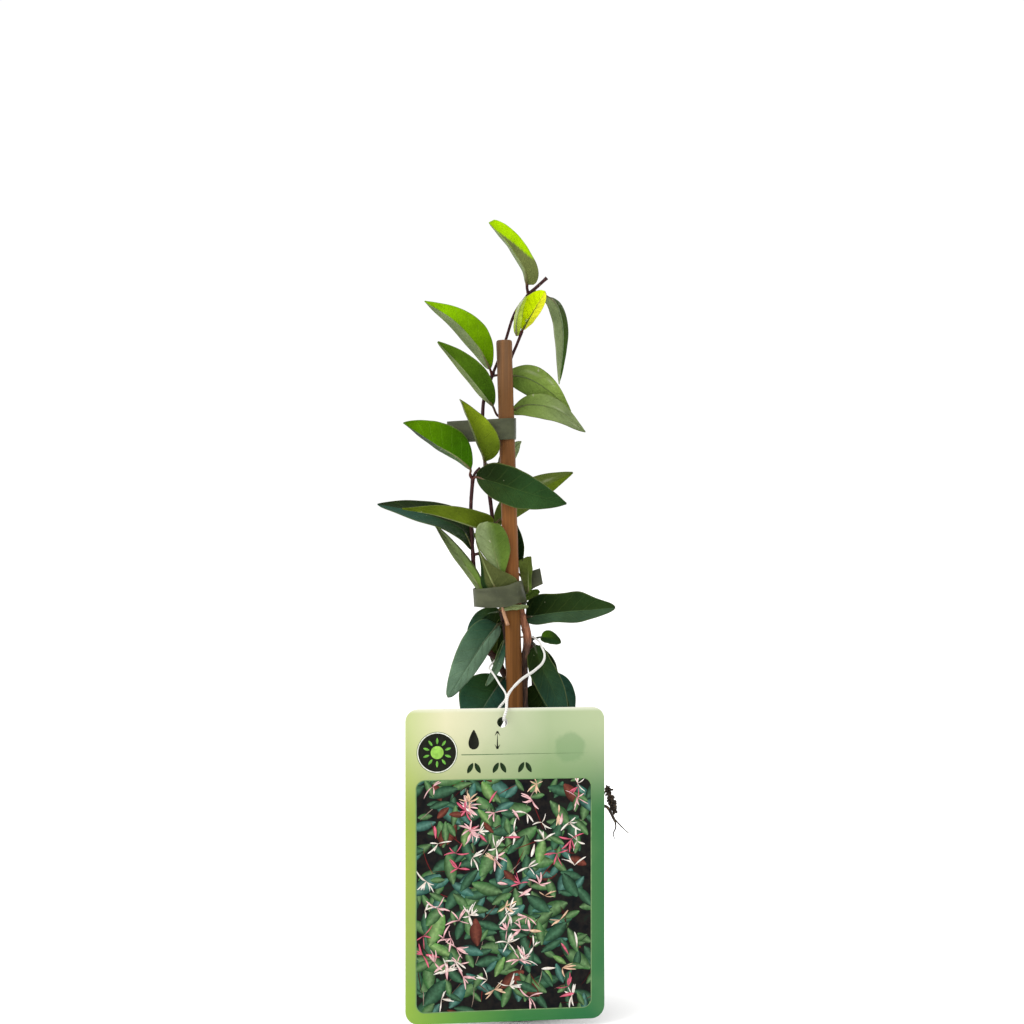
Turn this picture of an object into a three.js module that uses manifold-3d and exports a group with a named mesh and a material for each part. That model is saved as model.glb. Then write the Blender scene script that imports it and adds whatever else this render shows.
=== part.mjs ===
// A young climbing honeysuckle in a round nursery pot. Millimetres, +Z up, the origin at the middle
// of the pot's foot. The front of the plant, with its picture label, faces -Y.
import * as THREE from 'three'
import { mergeVertices } from 'three/addons/utils/BufferGeometryUtils.js'
import Module from 'manifold-3d'

const wasm = await Module()
wasm.setup()

// ---- driving dimensions ------------------------------------------------------------------------
const GAP = 0.3 // clearance between pieces that touch

const POT_HEIGHT = 100
const POT_FOOT_RADIUS = 33
const POT_NECK_RADIUS = 43.4 // outside, just under the rim band
const POT_RIM_RADIUS = 46
const POT_RIM_BAND = 9
const POT_WALL = 1.4
const POT_FLOOR = 1.8
const POT_SIDES = 36
const DRAIN_HOLES = 8
const DRAIN_RADIUS = 3.5
const DRAIN_CIRCLE = 23

const SOIL_TOP = 91
const SOIL_CROWN = 1.6 // the soil stands this much higher at the middle
const SOIL_LUMP = 0.7

const CANE_RADIUS = 4
const CANE_SIDES = 20
const CANE_FOOT = [6.6, 0, 14]
const CANE_TOP = [-3, 0, 334]

const TAPE_THICK = 0.6
const TIE_SLOPE = 0.05 // the upper tie falls away from the cane by this much

const LABEL_WIDTH = 97
const LABEL_HEIGHT = 150.5
const LABEL_THICK = 0.8
const LABEL_BOTTOM = 3.4
const LABEL_TURN = 10 // degrees about Z, the left edge towards the front
const LABEL_SHIFT = -10.4 // middle of the card, along the card from where it leans on the rim
const LABEL_TOP_CORNER = 6
const LABEL_FOOT_CORNER = 6.5
const HOLE_RADIUS = 2.5
const HOLE_DROP = 6.8 // from the top edge of the card
const HOLE_SIDE = -1.6 // from the middle of the card

const STRING_RADIUS = 0.7
const KNOT_RADIUS = 1.9

const BLADE_THICK = 0.6
const BLADE_NECK = 0.07 // least half width of a blade, as a share of its widest
const BLADE_ROWS = 8
const PETIOLE_RADIUS = 0.65

// ---- solids ------------------------------------------------------------------------------------
const vec = (p) => new THREE.Vector3(...p)
const curveThrough = (points) => new THREE.CatmullRomCurve3(points.map(vec), false, 'centripetal')

function solidOf(geometry) {
  const bare = geometry.index ? geometry.toNonIndexed() : geometry.clone()
  bare.deleteAttribute('normal')
  bare.deleteAttribute('uv')
  const merged = mergeVertices(bare, 1e-4)
  const mesh = new wasm.Mesh({
    numProp: 3,
    vertProperties: new Float32Array(merged.attributes.position.array),
    triVerts: new Uint32Array(merged.index.array),
  })
  return new wasm.Manifold(mesh)
}

function geometryOf(solid) {
  const mesh = solid.getMesh()
  const geometry = new THREE.BufferGeometry()
  geometry.setAttribute('position', new THREE.BufferAttribute(new Float32Array(mesh.vertProperties), 3))
  geometry.setIndex(new THREE.BufferAttribute(new Uint32Array(mesh.triVerts), 1))
  return geometry
}

const fuse = (solids) => solids.reduce((whole, solid) => whole.add(solid))

// A round stem through the points, with flat ends.
function tube(points, radius, sides = 6, steps = 2 * (points.length - 1)) {
  const corners = Array.from({ length: sides }, (_, i) => (2 * Math.PI * i) / sides)
  const ring = corners.map((a) => new THREE.Vector2(radius * Math.cos(a), radius * Math.sin(a)))
  const section = new THREE.Shape(ring)
  const path = curveThrough(points)
  return solidOf(new THREE.ExtrudeGeometry(section, { steps, extrudePath: path, bevelEnabled: false }))
}

// A flat tape whose lower and upper edges run through two lists of points, closed into a loop or open.
function tape(lower, upper, closed, steps) {
  const low = new THREE.CatmullRomCurve3(lower.map(vec), closed, 'centripetal')
  const high = new THREE.CatmullRomCurve3(upper.map(vec), closed, 'centripetal')
  const rows = closed ? steps : steps + 1
  const position = []
  for (let i = 0; i < rows; i += 1) {
    const t = i / steps
    const foot = low.getPoint(t)
    const head = high.getPoint(t)
    const out = low.getTangent(t).cross(head.clone().sub(foot)).normalize().multiplyScalar(TAPE_THICK / 2)
    position.push(...foot.clone().sub(out), ...foot.clone().add(out))
    position.push(...head.clone().add(out), ...head.clone().sub(out))
  }
  const index = []
  for (let i = 0; i < steps; i += 1) {
    const here = 4 * i
    const next = 4 * ((i + 1) % rows)
    for (let k = 0; k < 4; k += 1) {
      const m = (k + 1) % 4
      index.push(here + k, here + m, next + m, here + k, next + m, next + k)
    }
  }
  if (!closed) {
    const last = 4 * steps
    index.push(0, 2, 1, 0, 3, 2, last, last + 1, last + 2, last, last + 2, last + 3)
  }
  return orientedSolid(position, index)
}

function orientedSolid(position, index) {
  const build = (triangles) => {
    const geometry = new THREE.BufferGeometry()
    geometry.setAttribute('position', new THREE.Float32BufferAttribute(position, 3))
    geometry.setIndex(triangles)
    return solidOf(geometry)
  }
  const solid = build(index)
  if (solid.volume() > 0) return solid
  const turned = []
  for (let i = 0; i < index.length; i += 3) turned.push(index[i], index[i + 2], index[i + 1])
  return build(turned)
}

// A leaf blade. The midrib runs from the stalk to the tip. Each half spreads from it along its own
// vector, which is the half's greatest width, so the two vectors also set how the blade is folded.
// Towards the tip they can turn into leftTip and rightTip. heel and full set how blunt the blade is at
// its foot and at its tip, wave lifts and lowers the margins, and curl rolls them over.
function blade(leaf) {
  const { rib, right, left, rightTip = right, leftTip = left } = leaf
  const { peak = 0.42, full = 0.8, heel = full, wave = 0, waves = 2, curl = 0.12 } = leaf
  const spine = curveThrough(rib)
  const skew = Math.log(0.5) / Math.log(peak)
  const top = []
  const bottom = []
  for (let i = 0; i <= BLADE_ROWS; i += 1) {
    const t = i / BLADE_ROWS
    const middle = spine.getPointAt(t)
    const along = spine.getTangentAt(t)
    const halves = [vec(left).lerp(vec(leftTip), t), vec(right).lerp(vec(rightTip), t)]
    const width = Math.max(BLADE_NECK, Math.sin(Math.PI * t ** skew) ** (t < peak ? heel : full))
    const normals = [halves[0].clone().cross(along), along.clone().cross(halves[1])]
    normals.forEach((normal) => normal.normalize())
    const crease = normals[0].clone().add(normals[1]).normalize()
    const ripple = wave * Math.sin(2 * Math.PI * waves * t) * width
    for (const side of [-1, -0.5, 0, 0.5, 1]) {
      const half = side < 0 ? 0 : 1
      const reach = Math.abs(side)
      const normal = side === 0 ? crease : normals[half]
      const rise = ripple * reach * reach - curl * halves[half].length() * width * reach * reach
      const point = middle.clone()
      point.addScaledVector(halves[half], width * reach).addScaledVector(normal, side === 0 ? 0 : rise)
      top.push(point.clone().addScaledVector(normal, BLADE_THICK / 2))
      bottom.push(point.clone().addScaledVector(normal, -BLADE_THICK / 2))
    }
  }
  const across = 5
  const count = top.length
  const index = []
  const quad = (a, b, c, d) => index.push(a, b, c, a, c, d)
  for (let i = 0; i < BLADE_ROWS; i += 1) {
    for (let k = 0; k < across - 1; k += 1) {
      const a = i * across + k
      const b = a + 1
      const c = b + across
      const d = a + across
      index.push(a, b, c, a, c, d, a + count, c + count, b + count, a + count, d + count, c + count)
    }
    const start = i * across
    const end = start + across - 1
    quad(start, start + across, start + across + count, start + count)
    quad(end + across, end, end + count, end + across + count)
  }
  for (let k = 0; k < across - 1; k += 1) {
    const far = BLADE_ROWS * across + k
    quad(k + 1, k, k + count, k + 1 + count)
    quad(far, far + 1, far + 1 + count, far + count)
  }
  const position = [...top, ...bottom].flatMap((p) => [p.x, p.y, p.z])
  return orientedSolid(position, index)
}

// A leaf with its stalk, which leaves the stem at the point called from and runs into the midrib.
function leafSolids(leaf) {
  const spine = curveThrough(leaf.rib)
  const inside = spine.getPointAt(0.06).toArray()
  const route = [leaf.from, ...(leaf.via ?? []), leaf.rib[0], inside]
  return [blade(leaf), tube(route, leaf.stalk ?? PETIOLE_RADIUS, 5, 4)]
}

// ---- the pot, its soil and the cane --------------------------------------------------------------
function latheSolid(profile, sides) {
  const geometry = new THREE.LatheGeometry(profile.map(([r, z]) => new THREE.Vector2(r, z)), sides)
  geometry.rotateX(Math.PI / 2)
  const solid = solidOf(geometry)
  if (solid.volume() > 0) return solid
  const index = geometry.index.array
  for (let i = 0; i < index.length; i += 3) [index[i + 1], index[i + 2]] = [index[i + 2], index[i + 1]]
  return solidOf(geometry)
}

const bandFoot = POT_HEIGHT - POT_RIM_BAND
const wallRadius = (z) => POT_FOOT_RADIUS + ((POT_NECK_RADIUS - POT_FOOT_RADIUS) * z) / bandFoot

function post(x, y, low, high, radius, sides = 20) {
  const geometry = new THREE.CylinderGeometry(radius, radius, high - low, sides)
  geometry.rotateX(Math.PI / 2)
  geometry.translate(x, y, (low + high) / 2)
  return solidOf(geometry)
}

function potSolid() {
  const rimInside = POT_RIM_RADIUS - POT_WALL - 0.4
  const shell = latheSolid([
    [0, 0],
    [POT_FOOT_RADIUS - 1.5, 0],
    [POT_FOOT_RADIUS, 1.5],
    [wallRadius(bandFoot), bandFoot],
    [POT_RIM_RADIUS - 0.8, bandFoot],
    [POT_RIM_RADIUS, bandFoot + 1],
    [POT_RIM_RADIUS, POT_HEIGHT - 0.8],
    [POT_RIM_RADIUS - 0.8, POT_HEIGHT],
    [rimInside, POT_HEIGHT],
    [wallRadius(bandFoot) - POT_WALL, bandFoot - 0.5],
    [wallRadius(POT_FLOOR) - POT_WALL, POT_FLOOR],
    [0, POT_FLOOR],
  ], POT_SIDES)
  const drains = []
  for (let i = 0; i < DRAIN_HOLES; i += 1) {
    const angle = (2 * Math.PI * i) / DRAIN_HOLES
    const [x, y] = [DRAIN_CIRCLE * Math.cos(angle), DRAIN_CIRCLE * Math.sin(angle)]
    drains.push(post(x, y, -1, POT_FLOOR + 1, DRAIN_RADIUS, 8))
  }
  return drains.reduce((whole, drain) => whole.subtract(drain), shell)
}

const caneAxis = new THREE.LineCurve3(vec(CANE_FOOT), vec(CANE_TOP))

function caneSolid(grow, foot, head) {
  const length = caneAxis.getLength()
  const profile = head
    ? [[0, -foot], [CANE_RADIUS + grow, -foot], [CANE_RADIUS + grow, length + head], [0, length + head]]
    : [[0, 0], [CANE_RADIUS - 0.5, 0], [CANE_RADIUS, 0.5], [CANE_RADIUS, length - 0.7],
      [CANE_RADIUS - 0.3, length - 0.2], [CANE_RADIUS - 0.8, length], [0, length]]
  const geometry = new THREE.LatheGeometry(profile.map(([r, z]) => new THREE.Vector2(r, z)), CANE_SIDES)
  const lean = vec(CANE_TOP).sub(vec(CANE_FOOT)).normalize()
  geometry.applyQuaternion(new THREE.Quaternion().setFromUnitVectors(new THREE.Vector3(0, 1, 0), lean))
  geometry.translate(...CANE_FOOT)
  const solid = solidOf(geometry)
  if (solid.volume() > 0) return solid
  const index = geometry.index.array
  for (let i = 0; i < index.length; i += 3) [index[i + 1], index[i + 2]] = [index[i + 2], index[i + 1]]
  return solidOf(geometry)
}

function soilSolid(stemFeet) {
  const rings = 4
  const sides = 28
  const edge = wallRadius(SOIL_TOP - 1) - POT_WALL - GAP
  const geometry = new THREE.LatheGeometry([
    [0, POT_FLOOR + GAP],
    [wallRadius(POT_FLOOR) - POT_WALL - GAP - 0.4, POT_FLOOR + GAP],
    ...Array.from({ length: rings }, (_, i) => [edge * (1 - i / rings), SOIL_TOP]),
    [0, SOIL_TOP],
  ].map(([r, z]) => new THREE.Vector2(r, z)), sides)
  geometry.rotateX(Math.PI / 2)
  const place = geometry.attributes.position
  for (let i = 0; i < place.count; i += 1) {
    const [x, y, z] = [place.getX(i), place.getY(i), place.getZ(i)]
    if (z < SOIL_TOP - 1) continue
    const inward = 1 - Math.hypot(x, y) / edge
    const lump = Math.sin(0.31 * x + 1.3) * Math.cos(0.27 * y) + Math.sin(0.19 * (x - y))
    place.setZ(i, z - 0.6 + SOIL_CROWN * inward + SOIL_LUMP * lump * Math.min(1, 3 * inward))
  }
  let solid = solidOf(geometry)
  if (solid.volume() < 0) {
    const index = geometry.index.array
    for (let i = 0; i < index.length; i += 3) [index[i + 1], index[i + 2]] = [index[i + 2], index[i + 1]]
    solid = solidOf(geometry)
  }
  solid = solid.subtract(caneSolid(GAP, GAP, GAP))
  for (const [x, y, z, radius] of stemFeet) {
    solid = solid.subtract(post(x, y, z - GAP, SOIL_TOP + 12, radius + 1.6 * GAP, 12))
  }
  return solid
}

// ---- the woody stems -----------------------------------------------------------------------------
const STEM_DEPTH = 66 // the stems' feet stand this high above the table, in the soil
const WOODY_RADIUS = 2
const OLD_RADIUS = 1.3

const woodyFoot = [10.4, 4, STEM_DEPTH]
const woodyPath = [woodyFoot, [10.4, 4, 100], [7.2, 4.8, 146], [7, 4.8, 160], [7.4, 4.2, 174],
  [8.8, 3.3, 183.5], [8.4, 3.6, 188], [6.4, 4.5, 194.5], [4.4, 5.9, 200.5], [1.6, 7.4, 206],
  [-0.6, 7.7, 212]]

const leftFoot = [0.6, 8.2, STEM_DEPTH]
const leftPath = [leftFoot, [0.6, 8.2, 100], [0, 8.2, 140], [-1, 7.9, 166], [-1.6, 8.4, 180], [-3, 8.6, 192],
  [-4.2, 8.6, 197.5]]

const rightFoot = [13.4, 7, STEM_DEPTH]
const rightPath = [rightFoot, [13.4, 7, 100], [12.8, 7.4, 140], [11.8, 8.2, 163], [11.2, 8.8, 176],
  [10.3, 8.8, 183], [9, 8.6, 190], [7.6, 8.4, 195]]

// ---- the leafy shoots ------------------------------------------------------------------------------
// Each shoot has its stems, as a path and a radius, and its leaves, in pairs at the stem's nodes.
const tallShoot = {
  stems: [
    { path: [[-3.7, 8, 211], [-6.5, 5.4, 218], [-8, 3, 230], [-8.5, 1.5, 241.5], [-10.3, 0.6, 257],
        [-12.3, 1, 271]], radius: 1.05 },
    { path: [[-12.3, 1, 270], [-13.5, 1, 284], [-13.6, 1.4, 299], [-12.9, 2, 305],
        [-9, 4, 316.5]], radius: 0.95 },
    { path: [[-9.2, 3.9, 316], [-7, 5.5, 321.5], [-4, 7, 329], [-2, 7, 335], [2.5, 5, 348],
        [9.5, 2, 357.5]], radius: 0.8 },
    { path: [[9.2, 2.2, 357.2], [12, 1.6, 359.4], [18.5, 1, 365.2]], radius: 0.9 },
    { path: [[9.5, 2, 357], [8.6, 1, 359.4], [8.5, 0.6, 362]], radius: 0.75 },
  ],
  leaves: [
    { from: [9, 1.6, 357.6],
      rib: [[8.3, 0.4, 361.8], [7.2, -4, 368.1], [3.6, -8, 374.4], [-1, -12, 380.9],
        [-10.4, -15, 390.7]],
      right: [8.2, 3.5, -1.6], left: [-0.6, 5.5, 0], rightTip: [5.4, 2, 6.4],
      leftTip: [-0.4, 5.5, -0.2], peak: 0.4, full: 0.35, heel: 0.5 },
    { from: [9.6, 2.2, 357.6], via: [[13, 4.4, 358.6]],
      rib: [[19, 5.4, 356], [23.8, 5.8, 353.2], [27.1, 7.1, 344.9], [27.9, 10.4, 333.2],
        [24.8, 14, 312.7]],
      right: [1.7, 4, 0.4], left: [-5.8, -4, -1], peak: 0.3, heel: 0.33 },
    { from: [-9, 4, 316.4],
      rib: [[-10, 2.4, 319.5], [-16.6, -4.1, 331.3], [-27.8, -12, 343], [-42.1, -19, 351.5]],
      right: [6.8, 0, 5.8], left: [-2.4, 6.5, -2.6] },
    { from: [-9, 4, 316.2], via: [[-6.4, 7, 316.8]],
      rib: [[-3.4, 8.8, 317.2], [8, 10.9, 315.7], [20.1, 13.2, 308.8], [30.7, 17, 298.9]],
      right: [-2.6, 1, -7.6], left: [2.4, 1.5, 7] },
    { from: [-12.3, 0.8, 271],
      rib: [[-12.6, -2.6, 273], [-15.6, -8, 280.9], [-19.9, -14.8, 291.7], [-24.7, -22, 303.4]],
      right: [11, -0.6, 2.4], left: [-1.4, -6, 0.6], peak: 0.36 },
    { from: [-12.3, 1.2, 270.6], via: [[-9, 6.4, 271]],
      rib: [[-6, 9.6, 272.6], [0, 13.1, 277.3], [5.6, 17, 283.8]],
      right: [1.6, 0.5, -3.8], left: [-1.6, 1, 3.8] },
    { from: [-8.5, 1.4, 241.6],
      rib: [[-8, -1, 239.5], [-15.9, -5, 240.3], [-25.8, -9.5, 243.5], [-38, -14, 247],
        [-53.1, -20, 249.5]],
      right: [1, -3, 9], left: [0, 2.6, 0.6], rightTip: [1, -3, 6.4], peak: 0.27, heel: 0.6 },
    { from: [-8.5, 1.8, 241.4], via: [[-8, 4.6, 242.4]],
      rib: [[-6, 8.2, 244], [3, 12.8, 251], [16.1, 16.5, 259.7], [31.9, 20, 268.2]],
      right: [2, 1.5, -5], left: [-4.4, 0.5, 7.2] },
  ],
}

const leftShoot = {
  stems: [
    { path: [[-3.2, 7.9, 206.2], [-7, 7, 203.6], [-11.6, 4.4, 203.6], [-15.4, 1, 208.6], [-18, -0.4, 220],
        [-18.5, -0.6, 227]], radius: 1.1 },
    { path: [[-18.5, -0.6, 226], [-19.4, -1, 242], [-19.5, -1, 252], [-18.6, -1, 264.5]], radius: 1 },
    { path: [[-18.6, -1, 264], [-17.4, -1.2, 267.4], [-14.8, -1.4, 270]], radius: 0.8 },
    { path: [[-18.5, -0.6, 226.6], [-17, -0.8, 226.9], [-15.6, -1.2, 227.2]], radius: 0.8 },
  ],
  leaves: [
    { from: [-18.7, -1, 264.4], via: [[-20, -2, 266.4]],
      rib: [[-19.6, -3, 269], [-26, -5.9, 274.8], [-36.9, -10.7, 281.5], [-52.6, -17, 291.7]],
      right: [6, -1, 10.4], left: [-0.2, 7, -1.2], full: 0.74 },
    { from: [-18.5, -1.2, 264.6],
      rib: [[-16.8, -4, 265.4], [-7, -9.3, 262.6], [9, -14.4, 257.4], [27.8, -19, 252]],
      right: [-1, -1.6, -9.2], left: [-0.4, -1.4, 11], peak: 0.4 },
    { from: [-18.5, -0.6, 227.2],
      rib: [[-18.8, -0.8, 229.4], [-23.4, -0.4, 238.4], [-40.2, 1.7, 246.4], [-66.7, 7, 252]],
      right: [4.4, 7.6, 5.4], left: [-2.4, -5.6, -4.6], full: 0.7, wave: 0.5 },
    { from: [-13.6, 2.6, 205],
      rib: [[-13, -1.2, 205], [-17, -0.7, 213.5], [-25.3, 2.3, 225.7], [-38, 9, 242.2]],
      right: [3.3, -3.4, 2.2], left: [-1.8, -1, -1.2], leftTip: [-3.2, -2.6, -2.1], heel: 0.4 },
  ],
}

const backShoot = {
  stems: [
    { path: [[-0.8, 7.7, 212.6], [-0.2, 7.2, 222], [-0.6, 6.7, 240], [-2, 6.6, 262], [-2.8, 6.6, 280],
        [-3.5, 6.6, 295]], radius: 1.05 },
    { path: [[-3.5, 6.6, 294.4], [-3, 6.6, 310], [0.5, 6.2, 325], [3.4, 5, 332],
        [6, 3.6, 338.5]], radius: 0.8 },
  ],
  leaves: [
    { from: [5.8, 3.8, 338],
      rib: [[6.4, 3, 339.4], [9.8, -2.3, 345.3], [13.6, -5.8, 351.3], [17.5, -9, 357.6]],
      right: [1.1, 3, -0.9], left: [-6.6, -1.4, 4.4], rightTip: [3.6, 3, -2.6], full: 0.5, heel: 0.62 },
    { from: [5.6, 4, 338],
      rib: [[3.3, 1.5, 336.6], [3.4, -4, 342.8], [4.9, -7.5, 349.1], [8, -9.4, 355]],
      right: [2.4, 0, -0.5], left: [-1.4, 1, 0.5], full: 0.8, heel: 0.5 },
    { from: [-3.5, 6.2, 295.4], via: [[-6.4, 5, 296.6]],
      rib: [[-8.6, 2.4, 301], [-15.4, -2.8, 309.5], [-25.3, -8.6, 321.2], [-35.8, -13, 332.1]],
      right: [6.6, -1, 5.4], left: [-1.8, -4.6, -2] },
    { from: [-3.5, 6.6, 295.4],
      rib: [[0, 6.6, 298.2], [9, 6.8, 301.7], [23.1, 8.2, 299.2], [37.9, 12, 288.4]],
      right: [-0.6, -2.6, -6.8], left: [0.4, 3, 5.8] },
    { from: [-0.2, 7.2, 222],
      rib: [[1, 7, 224], [2.6, 6.8, 232], [2.4, 6.6, 246]],
      right: [4.6, -1, -1], left: [-4, 3, 0] },
    { from: [-0.2, 7.2, 219], via: [[5.4, 7.8, 216]],
      rib: [[9.2, 6.6, 207.3], [9.2, 6.2, 214], [8.8, 5.8, 225.6]],
      right: [1.5, -0.6, 0.4], left: [-2, 0.4, -0.3], rightTip: [2.6, -0.6, 0.9],
      leftTip: [-4, 0.6, -1.2], full: 0.1, heel: 0.3 },
  ],
}

const trappedTwig = {
  stems: [{ path: [[-1, -5.5, 191.6], [-2.6, -5.5, 196], [-3.9, -5.6, 201], [-4, -5.7, 206]], radius: 0.9 }],
  leaves: [
    { from: [-3.9, -5.7, 204],
      rib: [[-3.2, -4.9, 209.2], [-4.7, -5, 216.6], [-7.2, -6.2, 226.1], [-9.7, -9, 235.1],
        [-10.9, -13, 243.3]],
      right: [9, 0.6, 0], left: [-7.5, -0.6, 0], peak: 0.68, full: 0.27, heel: 0.9 },
    { from: [-3.8, -5.7, 201],
      rib: [[-6.5, -5.2, 208.7], [-9.7, -6.6, 215.2], [-12.9, -8.6, 222.7], [-15.9, -9.6, 230.6],
        [-17.5, -10.2, 237.6]],
      right: [11.6, 0.3, 3.9], left: [-2, 0.4, -0.5], rightTip: [7, -0.5, -1.5], peak: 0.12, full: 2.5,
      heel: 0.6, curl: 0 },
    { from: [-3, -5.5, 198.6],
      rib: [[-5.5, -5.5, 199.7], [1.5, -5.2, 200.5], [9, -4, 200.7]],
      right: [0, 0, -1.3], left: [0, 0, 1.3], full: 0.3, curl: 0 },
  ],
}

const lowLeftPlant = {
  stems: [
    { path: leftPath, radius: OLD_RADIUS },
    { path: [[-0.8, 8, 163], [-3.5, 7.8, 167.6], [-6.5, 7.6, 173.6], [-12.6, 6.4, 179.4]], radius: 1.8 },
  ],
  leaves: [
    { from: [-3, 8.6, 192],
      rib: [[-6, 5, 191.6], [-13, -1.5, 183.1], [-20.9, -7.8, 171.3], [-30.5, -13, 156.2]],
      right: [4.5, 1.6, -3.2], left: [-9, -1.6, 7.4], leftTip: [-5.8, -1.4, 3.8], full: 0.5,
      heel: 0.34 },
    { from: [-4, 8.6, 197],
      rib: [[-7, 9, 197.2], [-12.6, 10.9, 195.5], [-18.1, 13.2, 189.8], [-22.2, 16, 181.6]],
      right: [-1.2, 1.4, 2.8], left: [3.6, 0.5, -6], rightTip: [-2.8, 1.4, 4.4], heel: 0.3 },
    { from: [-3.6, 8.8, 195],
      rib: [[-4.2, 9.6, 195], [-5.4, 9.8, 187], [-6.6, 9.6, 177], [-5.6, 9.8, 168]],
      right: [-4, 0.5, -1], left: [4.6, 0, 1], peak: 0.5, full: 0.5 },
    { from: [-1.8, 8.8, 182], via: [[-3, 6.2, 183]],
      rib: [[-2.8, 3.8, 183.3], [-4.9, 2.6, 177.4], [-7.4, 0.8, 170.4], [-12, 0, 161]],
      right: [-1.3, 0, 0.7], left: [2.5, -0.2, -1.6], full: 0.6, heel: 0.4 },
    { from: [-1, 7.8, 166],
      rib: [[-3.4, 6.6, 164.6], [-8.4, 3.7, 157.5], [-14, -0.5, 148.3], [-18.9, -6, 132.7]],
      right: [10, 1.8, -3.4], left: [-11.6, -1.5, 10] },
    { from: [-0.4, 8.8, 150],
      rib: [[-3, 11, 148], [-9, 15, 143], [-17, 19, 133], [-24, 22, 119]],
      right: [6, 5, -4], left: [-6.6, -3, 5] },
  ],
}

const lowRightPlant = {
  stems: [
    { path: rightPath, radius: OLD_RADIUS - 0.2 },
  ],
  leaves: [
    { from: [7.8, 8.4, 194.6],
      rib: [[7.8, 8.4, 195], [17, 4.2, 196.5], [28, -1.2, 198.1], [40.8, -7.5, 199.3], [52, -12, 200.7]],
      right: [0, -2.2, -3.8], left: [0, 2.4, 10.2], rightTip: [0, -2.6, -7.6], peak: 0.36, full: 0.62,
      heel: 0.25, wave: 0.8, waves: 2.5 },
    { from: [8.4, 8.6, 192.6], via: [[9.4, 11.4, 197]],
      rib: [[6.1, 12.4, 204.3], [10.1, 12.4, 206.1], [14.9, 12, 207.9]],
      right: [0.3, -0.3, -1.8], left: [-0.3, 0.3, 1.8], full: 0.35 },
    { from: [10.3, 8.8, 183.6], via: [[14, 7.4, 184.8]],
      rib: [[15.6, 4.4, 185.2], [20, 2.4, 184.8], [25.4, 2, 182.8]],
      right: [-0.6, -2.5, -2.6], left: [0.3, 0.6, 3.7], full: 0.5, stalk: 0.55 },
    { from: [10.4, 8.8, 182], via: [[12.3, 6.4, 181.6]],
      rib: [[12.4, 4.8, 180.6], [15.6, 1.2, 171.1], [21.3, -3.1, 159.3], [29.4, -9, 138.7]],
      right: [-5.4, -1.6, -2.2], left: [5.4, -1.6, 3.4], rightTip: [-4.2, -1.6, -3.6], heel: 0.4 },
    { from: [10.6, 9.2, 181],
      rib: [[14.6, 10.4, 180], [17.8, 12.4, 171.9], [19.7, 14.3, 161.7], [20.7, 17, 147.4]],
      right: [-4.4, 0, -1], left: [5, 0.6, 1.4] },
    { from: [11.8, 8.6, 165],
      rib: [[17, 9.6, 168], [24.6, 9.9, 162.5], [29.1, 10.9, 153.6], [31.2, 14, 139.2]],
      right: [-4.6, -1, -4], left: [4, 1, 2.4] },
    { from: [11.8, 8, 163],
      rib: [[12.6, 5.6, 161.4], [15, 4.6, 156], [19, 3.6, 147], [22, 3, 132]],
      right: [-5, 0.5, -1.5], left: [5, -0.5, 2] },
    { from: [12.4, 8.2, 150],
      rib: [[15, 11, 149], [21, 15, 145], [29, 18, 136], [36, 20, 124]],
      right: [-5, 4, -5], left: [5, -3, 6] },
  ],
}

const shootSolid = (shoot) => fuse([
  ...shoot.stems.map(({ path, radius }) => tube(path, radius)),
  ...shoot.leaves.flatMap(leafSolids),
])

// ---- the ties --------------------------------------------------------------------------------------
const atHeight = (points, z) => points.map(([x, y, lift = 0]) => [x, y, z + lift])

function upperTie() {
  const loop = [[3.1, 0.4], [2.3, -3], [-1.6, -4.8], [-6, -4.9], [-13, -4.4], [-22, -3.8], [-28.6, -2.6],
    [-31.4, 0.4], [-28, 3.8], [-20, 5.8], [-11, 7.4], [-4, 8.8], [0.6, 7.4], [2.8, 4]]
  const sloping = loop.map(([x, y]) => [x, y, TIE_SLOPE * x])
  return tape(atHeight(sloping, 284.2), atHeight(sloping, 294.8), true, 44)
}

function lowerTie() {
  const low = [[8.6, 4.4, 1.6], [7.6, -1, 2.3], [4.2, -6.1, 2], [-1.6, -7.5, 0.3], [-8, -7.9, -0.2],
    [-13, -6.6, -0.2], [-16.4, -3.8], [-17.8, 0.4], [-16.2, 5.4], [-11, 8.8], [-4, 10.9], [2.4, 10.7],
    [7.2, 8.6, 0.8]]
  const high = [[6, 4, 1.2], [5.9, -1.6, 1.8], [4.5, -6.1, 1.7], [-1.6, -7.5, -0.5], [-8, -7.9, -1.4],
    [-13, -6.6, -2], [-16.8, -3.8, -2.4], [-18.4, 0.4, -2.4], [-16.4, 5.4, -1.6], [-11, 8.8, -0.8],
    [-4, 10.9], [1.6, 10.5], [4.8, 8.2, 0.6]]
  const loop = tape(atHeight(low, 200.6), atHeight(high, 212), true, 44)
  const tail = tape([[1, 10.7, 201.4], [6, 10.4, 204.6], [11.4, 9.4, 209.2], [16.6, 8.2, 211.8]],
    [[1, 10.7, 211], [5, 10.4, 213], [10, 9.4, 217.8], [15.1, 8.2, 219.8]], false, 9)
  return loop.add(tail)
}

// ---- the label, its string and the root that hangs over the rim ------------------------------------
const turn = THREE.MathUtils.degToRad(LABEL_TURN)
const labelTop = LABEL_BOTTOM + LABEL_HEIGHT

// A point on the back of the card: along it from its middle, and up from the table.
function onLabel(side, height, out = 0) {
  const reach = POT_RIM_RADIUS + GAP + out
  const along = LABEL_SHIFT + side
  const [x, y] = [reach * Math.sin(turn), -reach * Math.cos(turn)]
  return [x + along * Math.cos(turn), y + along * Math.sin(turn), height]
}

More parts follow.
